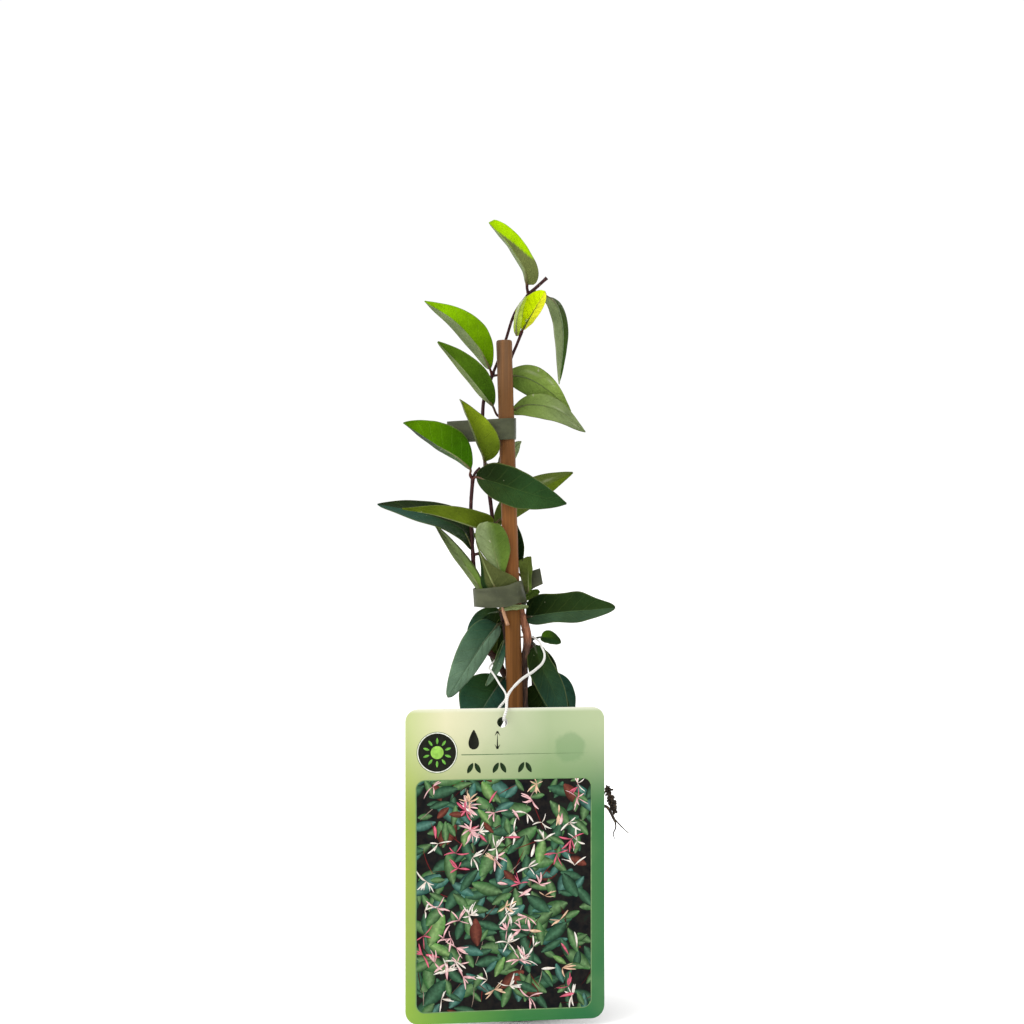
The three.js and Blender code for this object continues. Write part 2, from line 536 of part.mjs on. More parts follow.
function labelSolid() {
  const half = LABEL_WIDTH / 2
  const card = new THREE.Shape()
  card.moveTo(-half + LABEL_FOOT_CORNER, 0)
  card.lineTo(half - LABEL_FOOT_CORNER, 0)
  card.absarc(half - LABEL_FOOT_CORNER, LABEL_FOOT_CORNER, LABEL_FOOT_CORNER, -Math.PI / 2, 0)
  card.lineTo(half, LABEL_HEIGHT - LABEL_TOP_CORNER)
  card.absarc(half - LABEL_TOP_CORNER, LABEL_HEIGHT - LABEL_TOP_CORNER, LABEL_TOP_CORNER,
    0, Math.PI / 2)
  card.lineTo(-half + LABEL_TOP_CORNER, LABEL_HEIGHT)
  card.absarc(-half + LABEL_TOP_CORNER, LABEL_HEIGHT - LABEL_TOP_CORNER, LABEL_TOP_CORNER,
    Math.PI / 2, Math.PI)
  card.lineTo(-half, LABEL_FOOT_CORNER)
  card.absarc(-half + LABEL_FOOT_CORNER, LABEL_FOOT_CORNER, LABEL_FOOT_CORNER, Math.PI, 1.5 * Math.PI)
  const hole = new THREE.Path()
  hole.absarc(HOLE_SIDE, LABEL_HEIGHT - HOLE_DROP, HOLE_RADIUS, 0, 2 * Math.PI, true)
  card.holes.push(hole)
  const settings = { depth: LABEL_THICK, bevelEnabled: false, curveSegments: 6 }
  const geometry = new THREE.ExtrudeGeometry(card, settings)
  geometry.rotateX(Math.PI / 2)
  geometry.rotateZ(turn)
  geometry.translate(...onLabel(0, LABEL_BOTTOM))
  return solidOf(geometry)
}

const holeHeight = labelTop - HOLE_DROP
const threadHeight = holeHeight + HOLE_RADIUS - GAP - STRING_RADIUS
const knotPlace = onLabel(HOLE_SIDE, threadHeight - 6.5, -3.4)

// From the knot behind the card, forward through its hole, up round the stems and back to the knot.
const stringRoute = [
  onLabel(HOLE_SIDE + 0.2, threadHeight - 4.2, -3.4),
  onLabel(HOLE_SIDE + 0.2, threadHeight - 1.6, -2.6),
  onLabel(HOLE_SIDE + 0.2, threadHeight - 0.3, -0.6),
  onLabel(HOLE_SIDE + 0.3, threadHeight - 0.2, LABEL_THICK + 0.8),
  onLabel(HOLE_SIDE + 0.6, threadHeight + 1.8, LABEL_THICK + 2.6),
  onLabel(HOLE_SIDE + 1.4, threadHeight + 4.4, LABEL_THICK + 2.6),
  [-1, -46.4, 159.8],
  [4.9, -38.6, 166.4],
  [12.2, -28.6, 170.8],
  [16.2, -20.6, 174.2],
  [17.1, -13.8, 177.6],
  [15.8, -7.6, 180.9],
  [14.8, -2.4, 182.9],
  [13.6, 2.6, 184],
  [11.6, 6.2, 185],
  [6.6, 6.5, 185.2],
  [1, 5.9, 183.6],
  [-3.2, 5.6, 178.8],
  [-6.4, 4.3, 174.8],
  [-9.1, 2.8, 171.9],
  [-10.4, -0.8, 170.4],
  [-10, -8, 169.8],
  [-8.7, -20, 169.1],
  [-5.7, -33.6, 164.8],
  [-2.3, -42.6, 158.8],
  onLabel(HOLE_SIDE - 0.6, threadHeight, -3.6),
  onLabel(HOLE_SIDE - 0.6, threadHeight - 4.2, -3.4),
]

function knotSolid() {
  const geometry = new THREE.SphereGeometry(KNOT_RADIUS, 10, 6)
  geometry.scale(1.25, 0.9, 1)
  geometry.rotateZ(turn)
  geometry.translate(...knotPlace)
  return solidOf(geometry)
}

// Roots and soil that grew over the rim, hanging down outside it.
function rootSolid() {
  const overRim = [[37.6, -6, 93.4], [40, -6, 97], [42.4, -6, 101.2], [45, -6, 101.5], [48, -6, 101.4],
    [52.4, -6, 94]]
  const strands = [
    tube(overRim, 1, 6, 8),
    tube([[45, -6, 102], [46, -5.6, 106.4], [48.6, -5.4, 110.6]], 0.8, 5, 3),
    tube([[52.2, -6, 95], [52.6, -6, 91], [51.4, -6, 88], [52, -6, 85.4]], 0.55, 5, 4),
    tube([[52.2, -6, 95], [54.4, -5.8, 92.6], [57, -5.6, 90], [59, -5.6, 88.2]], 0.55, 5, 4),
  ]
  const lumps = [[49.4, -6, 105, 2.6], [51.8, -6, 99.8, 3]].map(([x, y, z, radius]) => {
    const geometry = new THREE.IcosahedronGeometry(radius, 1)
    geometry.scale(1, 0.85, 1.15)
    geometry.translate(x, y, z)
    return solidOf(geometry)
  })
  return fuse([...strands, ...lumps])
}

// ---- the assembled plant -----------------------------------------------------------------------------
const group = new THREE.Group()

function add(name, solid, color, roughness = 0.7) {
  const material = new THREE.MeshStandardMaterial({ color, roughness, metalness: 0 })
  const mesh = new THREE.Mesh(geometryOf(solid), material)
  mesh.name = name
  group.add(mesh)
}

add('pot', potSolid(), 0x26282a, 0.55)
add('soil', soilSolid([
  [...woodyFoot, WOODY_RADIUS],
  [...leftFoot, OLD_RADIUS],
  [...rightFoot, OLD_RADIUS - 0.2],
]), 0x2e211a, 0.95)
add('cane', caneSolid(0, 0, 0), 0x8a5a35, 0.5)
add('woody_stem', tube(woodyPath, WOODY_RADIUS, 8), 0x4b2f26, 0.85)
add('shoot_tall', shootSolid(tallShoot), 0x5e8a1e, 0.45)
add('shoot_left', shootSolid(leftShoot), 0x3d7a1c, 0.45)
add('shoot_back', shootSolid(backShoot), 0x5f8a35, 0.45)
add('twig_trapped', shootSolid(trappedTwig), 0x7d9a55, 0.5)
add('plant_low_left', shootSolid(lowLeftPlant), 0x2d5a3c, 0.4)
add('plant_low_right', shootSolid(lowRightPlant), 0x214a2a, 0.4)
add('tie_upper', upperTie(), 0x4c5a4b, 0.4)
add('tie_lower', lowerTie(), 0x4c5a4b, 0.4)
add('label', labelSolid(), 0xb4cc86, 0.4)
add('label_string', tube(stringRoute, STRING_RADIUS, 8, 54), 0xf2f0ea, 0.7)
add('string_knot', knotSolid(), 0xf2f0ea, 0.7)
add('root_over_rim', rootSolid(), 0x2a211a, 0.95)

export default group
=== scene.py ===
import math
import random
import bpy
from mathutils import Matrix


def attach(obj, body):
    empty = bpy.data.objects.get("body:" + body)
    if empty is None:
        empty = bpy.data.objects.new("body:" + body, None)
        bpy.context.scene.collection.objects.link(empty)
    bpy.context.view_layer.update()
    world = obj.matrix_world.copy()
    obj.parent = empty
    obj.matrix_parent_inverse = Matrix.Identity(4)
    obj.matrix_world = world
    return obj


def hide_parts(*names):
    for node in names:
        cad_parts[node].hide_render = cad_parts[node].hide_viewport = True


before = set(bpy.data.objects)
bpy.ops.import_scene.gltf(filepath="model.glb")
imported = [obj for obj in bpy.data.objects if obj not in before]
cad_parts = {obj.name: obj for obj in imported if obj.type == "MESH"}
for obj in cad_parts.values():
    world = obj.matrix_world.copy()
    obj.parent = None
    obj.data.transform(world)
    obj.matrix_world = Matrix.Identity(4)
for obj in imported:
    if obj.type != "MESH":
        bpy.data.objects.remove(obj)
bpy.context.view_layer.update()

from types import SimpleNamespace

import bmesh
import bpy
from mathutils import Matrix, Vector, geometry, noise


# ---- The studio ---------------------------------------------------------------------------------
# A pale floor in a soft white room that is brightest above the plant's left shoulder, with a wide
# lamp there and a weak one behind. The camera stands level, a little over a metre from the plant.

MM = 0.001  # sizes are given in millimetres and built in metres
ROOM_LIGHT = 1.5  # how much brighter than the screen's white the room is
FULL_TURN = 2 * math.pi
BRIGHT_SIDE = (-0.55, -0.45, 0.7)  # the way to the brightest part of the room
LAMPS_AIM = Vector((0, 0, 0.2))


def paint(red, green, blue):
    """A colour as it looks on screen, 0 to 255, mixed darker by as much as the room is bright."""
    mixed = []
    for value in (red, green, blue):
        value /= 255
        value = ((value + 0.055) / 1.055) ** 2.4 if value > 0.04 else value / 12.92
        mixed.append(value / ROOM_LIGHT)
    return (*mixed, 1.0)


class Finish:
    """A procedural material, with short ways to write down its nodes. A colour of three numbers is
    one as it looks on screen; one of four is plain."""

    def __init__(self, name, roughness, gloss=0.5):
        self.material = bpy.data.materials.new(name)
        self.material.use_nodes = True
        self.tree = self.material.node_tree
        self.shader = self.tree.nodes["Principled BSDF"]
        self.here = self.node("TexCoord", out="Object")
        self.set("Roughness", roughness)
        self.set("Specular IOR Level", gloss)

    def feed(self, socket, value):
        if isinstance(value, bpy.types.NodeSocket):
            self.tree.links.new(value, socket)
        else:
            on_screen = socket.type == "RGBA" and len(value) == 3
            socket.default_value = paint(*value) if on_screen else value

    def set(self, socket, value):
        self.feed(self.shader.inputs[socket], value)

    def colour(self, tone):
        self.set("Base Color", tone)

    def node(self, kind, *inputs, out=0, **settings):
        node = self.tree.nodes.new("ShaderNode" + kind)
        for key, value in settings.items():
            setattr(node, key, value)
        for socket, value in inputs:
            self.feed(node.inputs[socket], value)
        return node.outputs[out]

    def sum(self, operation, *values):
        return self.node("Math", *enumerate(values), operation=operation)

    def plus(self, *values):
        return self.sum("ADD", *values)

    def times(self, *values):
        return self.sum("MULTIPLY", *values)

    def axis(self, name, place=None):
        return self.node("SeparateXYZ", (0, place or self.here), out=name)

    def band(self, value, low, high, bottom=0.0, top=1.0):
        """From bottom to top, smoothly, as the value goes from low to high."""
        return self.node("MapRange", ("Value", value), ("From Min", low), ("From Max", high),
                         ("To Min", bottom), ("To Max", top), interpolation_type="SMOOTHSTEP")

    def blend(self, share, first, second, how="MIX"):
        return self.node("Mix", (0, share), (6, first), (7, second), out=2, data_type="RGBA",
                         blend_type=how)

    def tint(self, tone, *shares):
        """A tone with its red, green and blue multiplied."""
        return self.blend(1.0, tone, (*shares, 1), "MULTIPLY")

    def mottle(self, tone, value, dark, light, low=0.3, high=0.7):
        """Multiplies a tone by dark where a pattern is low, and by light where it is high."""
        pattern = self.steps(value, (low, *dark, 1), (high, *light, 1))
        return self.blend(1.0, tone, pattern, "MULTIPLY")

    def stretched(self, place, scale):
        return self.node("Mapping", ("Vector", place), ("Scale", scale))

    def grain(self, scale, detail=3.0, rough=0.5, stretch=None):
        place = self.stretched(self.here, stretch) if stretch else self.here
        return self.node("TexNoise", ("Vector", place), ("Scale", scale), ("Detail", detail),
                         ("Roughness", rough))

    def steps(self, value, *stops):
        """A colour ramp through stops, each its place and its colour's numbers."""
        ramp = self.tree.nodes.new("ShaderNodeValToRGB")
        self.feed(ramp.inputs[0], value)
        marks = ramp.color_ramp.elements
        while len(marks) < len(stops):
            marks.new(0.5)
        for mark, (place, *colour) in zip(marks, stops):
            mark.position, mark.color = place, paint(*colour) if len(colour) == 3 else colour
        return ramp.outputs[0]

    def bump(self, height, depth):
        self.set("Normal", self.node("Bump", ("Height", height), ("Distance", depth),
                                     ("Strength", 1.0)))

    def let_through(self, share, tone):
        """Lets a share of the light through, in a tone."""
        through = self.node("BsdfTranslucent", ("Color", tone))
        self.feed(self.tree.nodes["Material Output"].inputs["Surface"], self.node(
            "MixShader", (0, share), (1, self.shader.outputs[0]), (2, through)))


def at(x, y, z):
    """Moves to a place given in millimetres."""
    return Matrix.Translation(Vector((x, y, z)) * MM)


def new_piece(name, bm, *finishes):
    """Makes a smoothly shaded object of a bmesh."""
    mesh = bpy.data.meshes.new(name)
    bm.to_mesh(mesh)
    bm.free()
    mesh.shade_smooth()
    for finish in finishes:
        mesh.materials.append(finish.material)
    piece = bpy.data.objects.new(name, mesh)
    scene.collection.objects.link(piece)
    return piece


def belongs(piece, node=None):
    """Puts a piece on the one body, and in place of the solid that it stands for."""
    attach(piece, "root")
    if node:
        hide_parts(node)


scene = bpy.context.scene
scene.view_settings.view_transform = "Standard"

room = bpy.data.worlds.new("room")
room.use_nodes = True
scene.world = room
walls = room.node_tree
air = walls.nodes["Background"]
air.inputs["Color"].default_value = (1, 1, 1, 1)
aim = walls.nodes.new("ShaderNodeTexCoord")
toward = walls.nodes.new("ShaderNodeVectorMath")
toward.operation = "DOT_PRODUCT"
toward.inputs[1].default_value = Vector(BRIGHT_SIDE).normalized()
walls.links.new(aim.outputs["Generated"], toward.inputs[0])
glow = walls.nodes.new("ShaderNodeMapRange")
glow.interpolation_type = "SMOOTHSTEP"
for socket, value in (("From Min", 0.1), ("From Max", 1.0), ("To Min", 1.03), ("To Max", 1.9)):
    glow.inputs[socket].default_value = value
walls.links.new(toward.outputs["Value"], glow.inputs["Value"])
walls.links.new(glow.outputs[0], air.inputs["Strength"])

for name, place, size, power in (("wide_lamp", (-0.75, -0.85, 1.0), 0.7, 8.0),
                                 ("back_lamp", (0.6, 0.9, 0.9), 0.5, 3.0)):
    lamp = bpy.data.lights.new(name, "AREA")
    lamp.shape, lamp.size, lamp.energy = "DISK", size, power
    stand = bpy.data.objects.new(name, lamp)
    stand.location = place
    stand.rotation_euler = (LAMPS_AIM - Vector(place)).to_track_quat("-Z", "Y").to_euler()
    scene.collection.objects.link(stand)

camera = bpy.data.objects.new("camera", bpy.data.cameras.new("camera"))
camera.data.lens, camera.data.sensor_width = 84.375, 36
camera.data.clip_start, camera.data.clip_end = 0.02, 60
camera.location, camera.rotation_euler = (0.001, -1.2, 0.248), (math.pi / 2, 0, 0)
scene.collection.objects.link(camera)
scene.camera = camera

screed = Finish("floor", 0.9, 0.1)
screed.colour(screed.steps(screed.grain(3, 4), (0.3, 0.9, 0.9, 0.89, 1),
                           (0.7, 0.93, 0.93, 0.925, 1)))
bm = bmesh.new()
bmesh.ops.create_circle(bm, cap_ends=True, segments=96, radius=20)
floor = new_piece("floor", bm, screed)


# ---- The label's string -------------------------------------------------------------------------
# A thin white elastic string, 1.4 mm thick and about 181 mm long. It comes forward through the
# label's hole, goes up round the stems and back, and its two ends meet in a knot behind the card.

CARD_TURN = math.radians(10)  # the card's left edge stands towards the front
CARD_LEANS = 46.3  # from the pot's middle to the back of the card, where it leans on the rim
CARD_SHIFT = -10.4  # the middle of the card, along the card from there
CARD_FOOT, CARD_WIDTH, CARD_HEIGHT, CARD_THICK = 3.4, 97.0, 150.5, 0.8
HOLE = (-1.6, 143.7, 2.5)  # across and up from the foot of the card's middle, and its radius
STRING_THICK = 1.4
STRING_THIN, KNOT_THICK = 0.92, 1.24  # where it is stretched, and where it is knotted
THREAD_UP = CARD_FOOT + HOLE[1] + HOLE[2] - 0.3 - STRING_THICK / 2  # it hangs from the hole's top


def on_card(side, height, out=0.0):
    """A point behind (out below 0) or before the card's back: along it, up from the floor."""
    reach, along = CARD_LEANS + out, CARD_SHIFT + side
    return (reach * math.sin(CARD_TURN) + along * math.cos(CARD_TURN),
            -reach * math.cos(CARD_TURN) + along * math.sin(CARD_TURN), height)


def by_hole(side, up, out):
    return on_card(HOLE[0] + side, THREAD_UP + up, out)


def flow(points, count, closed=False):
    """Points at even steps along a smooth line drawn through the given ones."""
    marks = [Vector(p) for p in points]
    if closed:
        marks = [marks[-1], *marks, marks[0], marks[1]]
    else:
        marks = [2 * marks[0] - marks[1], *marks, 2 * marks[-1] - marks[-2]]
    line = []
    for before, start, end, after in zip(marks, marks[1:], marks[2:], marks[3:]):
        a, b, c = (math.sqrt((q - p).length) for p, q in
                   ((before, start), (start, end), (end, after)))
        leave = b * ((start - before) / a - (end - before) / (a + b) + (end - start) / b) / 3
        reach = b * ((end - start) / b - (after - start) / (b + c) + (after - end) / c) / 3
        bend = geometry.interpolate_bezier(start, start + leave, end - reach, end, 24)
        line += bend[1:] if line else bend
    travelled = [0.0]
    for start, end in zip(line, line[1:]):
        travelled.append(travelled[-1] + (end - start).length)
    even, spot = [], 0
    for step in range(count):
        goal = travelled[-1] * step / (count - 1)
        while spot < len(line) - 2 and travelled[spot + 1] < goal:
            spot += 1
        share = (goal - travelled[spot]) / max(travelled[spot + 1] - travelled[spot], 1e-9)
        even.append(line[spot].lerp(line[spot + 1], share))
    return even


def draw_along(bm, path, radii, sides=8, squeeze=1.0):
    """A round length drawn along the path: a ring pushed out point by point, and closed at both
    ends. The UV map called strand goes once round it, and along it in metres. Returns each corner's
    place in its ring and the ring's in the path."""
    strand = bm.loops.layers.uv.get("strand") or bm.loops.layers.uv.new("strand")
    path = [point * MM for point in path]
    last = len(path) - 1
    side, stations, length = None, [], [0.0]
    for step, point in enumerate(path):
        along = (path[min(step + 1, last)] - path[max(step - 1, 0)]).normalized()
        side = (side - along * side.dot(along) if side else along.orthogonal()).normalized()
        radius = (radii[step] if isinstance(radii, list) else radii) * MM
        place = Matrix((side, along.cross(side), along)).transposed().to_4x4()
        place.translation = point
        stations.append(place @ Matrix.Diagonal((radius, radius * squeeze, radius, 1)))
        if step:
            length.append(length[-1] + (point - path[step - 1]).length)
    ring = bmesh.ops.create_circle(bm, cap_ends=True, segments=sides, radius=1,
                                   matrix=stations[0])["verts"]
    spots = {corner: (index, 0) for index, corner in enumerate(ring)}
    edges = list({edge for corner in ring for edge in corner.link_edges})
    faces = set(ring[0].link_faces)
    for step in range(1, len(path)):
        pushed = bmesh.ops.extrude_edge_only(bm, edges=edges)["geom"]
        ring = [item for item in pushed if isinstance(item, bmesh.types.BMVert)]
        for corner in ring:
            foot = next(edge.other_vert(corner) for edge in corner.link_edges
                        if edge.other_vert(corner) in spots)
            spots[corner] = (spots[foot][0], step)
        edges = [item for item in pushed if isinstance(item, bmesh.types.BMEdge)
                 and all(spots[corner][1] == step for corner in item.verts)]
        faces.update(item for item in pushed if isinstance(item, bmesh.types.BMFace))
        bmesh.ops.transform(bm, matrix=stations[step] @ stations[step - 1].inverted(), verts=ring)
    faces.update(bmesh.ops.edgeloop_fill(bm, edges=edges)["faces"])
    bmesh.ops.recalc_face_normals(bm, faces=list(faces))
    for face in faces:
        wraps = {0, sides - 1} <= {spots[corner][0] for corner in face.verts}
        for loop in face.loops:
            index, step = spots[loop.vert]
            loop[strand].uv = ((sides if wraps and index == 0 else index) / sides, length[step])
    return spots


string_route = [
    by_hole(2.2, -5.2, -3.6), by_hole(2.7, -2.2, -3.4), by_hole(1.6, -0.4, -1.3),
    by_hole(0.6, -0.2, 1.4), by_hole(0.6, 1.8, 3.4), by_hole(1.4, 4.4, 3.4),
    (-1, -46.4, 159.8), (4.9, -38.6, 166.4), (12.2, -28.6, 170.8), (16.2, -20.6, 174.2),
    (17.1, -13.8, 177.6), (15.8, -7.6, 180.9), (14.8, -2.4, 182.9), (13.6, 2.6, 184),
    (11.6, 6.2, 185), (6.6, 6.5, 185.2), (1, 5.9, 183.6), (-3.2, 5.6, 178.8), (-6.4, 4.3, 174.8),
    (-9.1, 2.8, 171.9), (-10.4, -0.8, 170.4), (-10, -8, 169.8), (-8.7, -20, 169.1),
    (-5.2, -33.6, 164.6), (-1.8, -42.4, 158.4), by_hole(-1.2, 4.4, -3.7),
    by_hole(-3.2, -1.4, -3.8), by_hole(-1.6, -5.4, -3.4)]

elastic = Finish("elastic_string", 0.72)
elastic.set("Sheen Weight", 0.25)
ply = elastic.node("TexWave", ("Vector", elastic.stretched(
    elastic.node("UVMap", uv_map="strand"), (1, 620, 1))), ("Scale", 1.0), ("Distortion", 0.6),
    ("Detail", 2.0), bands_direction="DIAGONAL")
elastic.colour(elastic.steps(ply, (0.0, 205, 200, 188), (0.5, 244, 243, 238)))
elastic.bump(ply, 0.00012)

bm = bmesh.new()
string_flow = flow(string_route, 190)
girths = []
for point in string_flow:  # drawn out thinner where it is stretched round the stems
    start, run = (4, 26) if point.x > 2 else (40, 6)
    slack = min(1, max(0, (-point.y - start) / run))
    girths.append((STRING_THIN + (STRING_THICK - STRING_THIN) * slack) / 2)
draw_along(bm, string_flow, girths, 12)
string = new_piece("label_string_cord", bm, elastic)
belongs(string, "label_string")

bm = bmesh.new()
knot_middle, knot_turn = Vector(by_hole(0, -6.5, -3.4)), Matrix.Rotation(CARD_TURN, 3, "Z")
angles = [FULL_TURN * step / 60 for step in range(61)]
trefoil = [Vector((math.sin(a) + 2 * math.sin(2 * a), 0.85 * math.sin(3 * a),
                   math.cos(a) - 2 * math.cos(2 * a))) * 0.5 for a in angles]
draw_along(bm, [knot_middle + knot_turn @ point for point in trefoil], KNOT_THICK / 2, 10)
for sway in (-1, 1):
    end = [(0.3 * sway, -0.2, 1.4), (0.6 * sway, 0, -0.2), (1.2 * sway, 0.2, -2.4),
           (1.5 * sway, 0.3, -4.6), (2.3 * sway, 0.2, -6.4)]
    draw_along(bm, [knot_middle + knot_turn @ point for point in flow(end, 24)],
               [0.7] * 23 + [0.82], 10)
knot = new_piece("label_string_knot", bm, elastic)
belongs(knot, "string_knot")


# ---- The pot ------------------------------------------------------------------------------------
# A thin round nursery pot of dark moulded plastic, 100 mm tall, with a stiff band round its rim,
# faint rings left by the mould, and eight drain holes in its floor.

POT_HEIGHT, POT_FOOT, POT_NECK, POT_RIM, POT_BAND, POT_WALL = 100, 33, 43.4, 46, 9, 1.4
POT_FLOOR = 1.8
RING_DEPTH, RING_HEIGHTS = 0.25, (12.5, 13, 76.5, 77)
DRAINS, DRAIN_REACH, DRAIN_RADIUS = 8, 23, 3.5


def spun(profile, steps=96):
    """A closed round body spun from a profile of (radius, height) corners in millimetres."""
    bm = bmesh.new()
    line = [bm.verts.new((radius * MM, 0, height * MM)) for radius, height in profile]
    edges = [bm.edges.new(pair) for pair in zip(line, line[1:])]
    bmesh.ops.spin(bm, geom=line + edges, cent=(0, 0, 0), axis=(0, 0, 1), angle=FULL_TURN,
                   steps=steps, use_merge=True)
    bmesh.ops.remove_doubles(bm, verts=bm.verts, dist=1e-6)
    bmesh.ops.recalc_face_normals(bm, faces=bm.faces)
    return bm


def wall_at(height):
    """The pot's radius outside, at a height below its band."""
    return POT_FOOT + (POT_NECK - POT_FOOT) * height / (POT_HEIGHT - POT_BAND)


neck, lip = POT_HEIGHT - POT_BAND, POT_RIM - POT_WALL
outside = [(0, 0), (8, 0), (20, 0), (29, 0), (POT_FOOT - 1.5, 0), (POT_FOOT - 0.5, 0.35),
           (POT_FOOT + 0.05, 1.4)]
for height in (6, 12, 12.5, 13, 13.5, 20, 30, 40, 50, 60, 70, 76, 76.5, 77, 77.5, 84):
    outside.append((wall_at(height) - (RING_DEPTH if height in RING_HEIGHTS else 0), height))
outside += [(wall_at(neck), neck - 0.6), (wall_at(neck) + 0.5, neck), (POT_RIM - 0.8, neck),
            (POT_RIM - 0.2, neck + 0.3), (POT_RIM, neck + 1), (POT_RIM - 0.1, neck + 4.5),
            (POT_RIM, POT_HEIGHT - 0.9), (POT_RIM - 0.25, POT_HEIGHT - 0.2),
            (POT_RIM - 0.9, POT_HEIGHT)]
inside = [(lip - 0.2, POT_HEIGHT - 0.1), (lip - 0.5, POT_HEIGHT - 0.8),
          (wall_at(neck) - POT_WALL + 0.2, neck + 0.4)]
inside += [(wall_at(height) - POT_WALL, height) for height in (neck - 1, 70, 40, 12, 3.2)]
inside += [(wall_at(POT_FLOOR) - POT_WALL - 1.2, POT_FLOOR), (20, POT_FLOOR), (0, POT_FLOOR)]
bm = spun(outside + inside, 120)
plastic = Finish("nursery_pot", 0.5)
haze, dust = plastic.grain(55, 5, 0.6), plastic.grain(420, 4, 0.7)
plastic.colour(plastic.blend(plastic.band(haze, 0.45, 0.75), (36, 38, 40), plastic.blend(
    plastic.band(dust, 0.55, 0.75), (44, 46, 48), (78, 74, 68))))
plastic.set("Roughness", plastic.band(dust, 0.3, 0.7, 0.36, 0.62))
rings = plastic.node("TexWave", ("Vector", plastic.here), ("Scale", 90), ("Distortion", 0.4),
                     bands_direction="Z")
plastic.bump(plastic.plus(plastic.times(rings, 0.4), dust), 0.00006)
pot = new_piece("nursery_pot", bm, plastic)

bm = bmesh.new()
for index in range(DRAINS):
    spoke = Matrix.Rotation(FULL_TURN * index / DRAINS, 4, "Z") @ at(DRAIN_REACH, 0, 1)
    bmesh.ops.create_cone(bm, cap_ends=True, segments=24, radius1=DRAIN_RADIUS * MM,
                          radius2=DRAIN_RADIUS * MM, depth=6 * MM, matrix=spoke)
drill = new_piece("drill", bm)
cut = pot.modifiers.new("drains", "BOOLEAN")
cut.object, cut.operation, cut.solver = drill, "DIFFERENCE", "EXACT"
bpy.context.view_layer.update()
drilled = bpy.data.meshes.new_from_object(
    pot.evaluated_get(bpy.context.evaluated_depsgraph_get()))
pot.modifiers.clear()
pot.data = drilled
bpy.data.objects.remove(drill)
pot.data.set_sharp_from_angle(angle=math.radians(40))
belongs(pot, "pot")


# ---- The soil -----------------------------------------------------------------------------------
# Moist peat compost that fills the pot to 9 mm below its rim, lumpy on top, with loose crumbs,
# fibres, a few pale grains of perlite and chips of bark lying on it.

SOIL_TOP, SOIL_GAP = 91, 0.3
SOIL_EDGE = wall_at(SOIL_TOP - 1) - POT_WALL - SOIL_GAP
CRUMBS, GRAINS, CHIPS, FIBRES = 520, 26, 34, 60


def soil_height(x, y):
    """How high the soil stands at a place, in millimetres."""
    inward = max(0.0, 1 - math.hypot(x, y) / SOIL_EDGE)
    lump = math.sin(0.31 * x + 1.3) * math.cos(0.27 * y) + math.sin(0.19 * (x - y))
    rough = noise.fractal(Vector((x, y, 3)) * 0.32, 0.8, 2.1, 4)
    return SOIL_TOP - 0.6 + 1.6 * inward + (0.7 * lump + 0.75 * rough) * min(1, 3 * inward + 0.15)


def strewn(spread):
    """A chance place on the soil, within a share of the way to the pot's wall."""
    bearing, reach = dice.uniform(0, FULL_TURN), SOIL_EDGE * math.sqrt(dice.random()) * spread
    return reach * math.cos(bearing), reach * math.sin(bearing)


def tossed(lean, *sides):
    """A chance turn and lean, and a chance stretch of each side, all between two ends."""
    turn = Matrix.Rotation(dice.uniform(0, 6.3), 4, "Z")
    turn @= Matrix.Rotation(dice.uniform(*lean), 4, "X")
    return turn @ Matrix.Diagonal((*[dice.uniform(*ends) for ends in sides], 1))


def add_lump(bm, place, radius, depth, pitch, subdivisions=2):
    """A ball with an uneven skin."""
    for corner in bmesh.ops.create_icosphere(bm, subdivisions=subdivisions, radius=radius * MM,
                                             matrix=place)["verts"]:
        corner.co += noise.noise_vector(corner.co * pitch) * depth * MM


bed = [(0, POT_FLOOR + SOIL_GAP), (20, POT_FLOOR + SOIL_GAP),
       (wall_at(POT_FLOOR) - POT_WALL - 0.9, POT_FLOOR + SOIL_GAP)]
bed += [(wall_at(height) - POT_WALL - SOIL_GAP, height) for height in (20, 50, 80)]
bed += [(SOIL_EDGE * (1 - ring / 34), SOIL_TOP) for ring in range(35)]
bm = spun(bed, 110)
for corner in bm.verts:
    if corner.co.z > (SOIL_TOP - 1) * MM:
        corner.co.z = soil_height(corner.co.x / MM, corner.co.y / MM) * MM
peat = Finish("peat", 0.92)
clods, specks = peat.grain(160, 6, 0.65), peat.grain(900, 4, 0.7)
peat.colour(peat.blend(peat.band(specks, 0.62, 0.72), peat.steps(
    clods, (0.25, 22, 15, 11), (0.5, 52, 36, 27), (0.75, 84, 62, 46)), (120, 92, 66)))
peat.bump(peat.plus(clods, specks), 0.0006)
belongs(new_piece("peat_soil", bm, peat), "soil")

dice = random.Random(41)
noise.seed_set(41)  # the places that noise_vector starts from are drawn too
bm = bmesh.new()
for _ in range(CRUMBS):
    (x, y), size = strewn(0.975), dice.uniform(0.35, 1.5)
    form = tossed((0, 3), (0.7, 1.3), (0.6, 1), (0.5, 0.9))
    add_lump(bm, at(x, y, soil_height(x, y) + size * 0.25) @ form, size, size * 0.3, 900, 1)
belongs(new_piece("soil_crumbs", bm, peat))

foam = Finish("perlite", 0.85)
pits = foam.grain(1500, 3)
foam.colour(foam.steps(pits, (0.3, 176, 166, 148), (0.6, 236, 232, 222)))
foam.bump(pits, 0.0003)
bm = bmesh.new()
for _ in range(GRAINS):
    (x, y), size = strewn(0.95), dice.uniform(0.6, 1.3)
    add_lump(bm, at(x, y, soil_height(x, y) + size * 0.3), size, size * 0.35, 1100)
belongs(new_piece("perlite_grains", bm, foam))

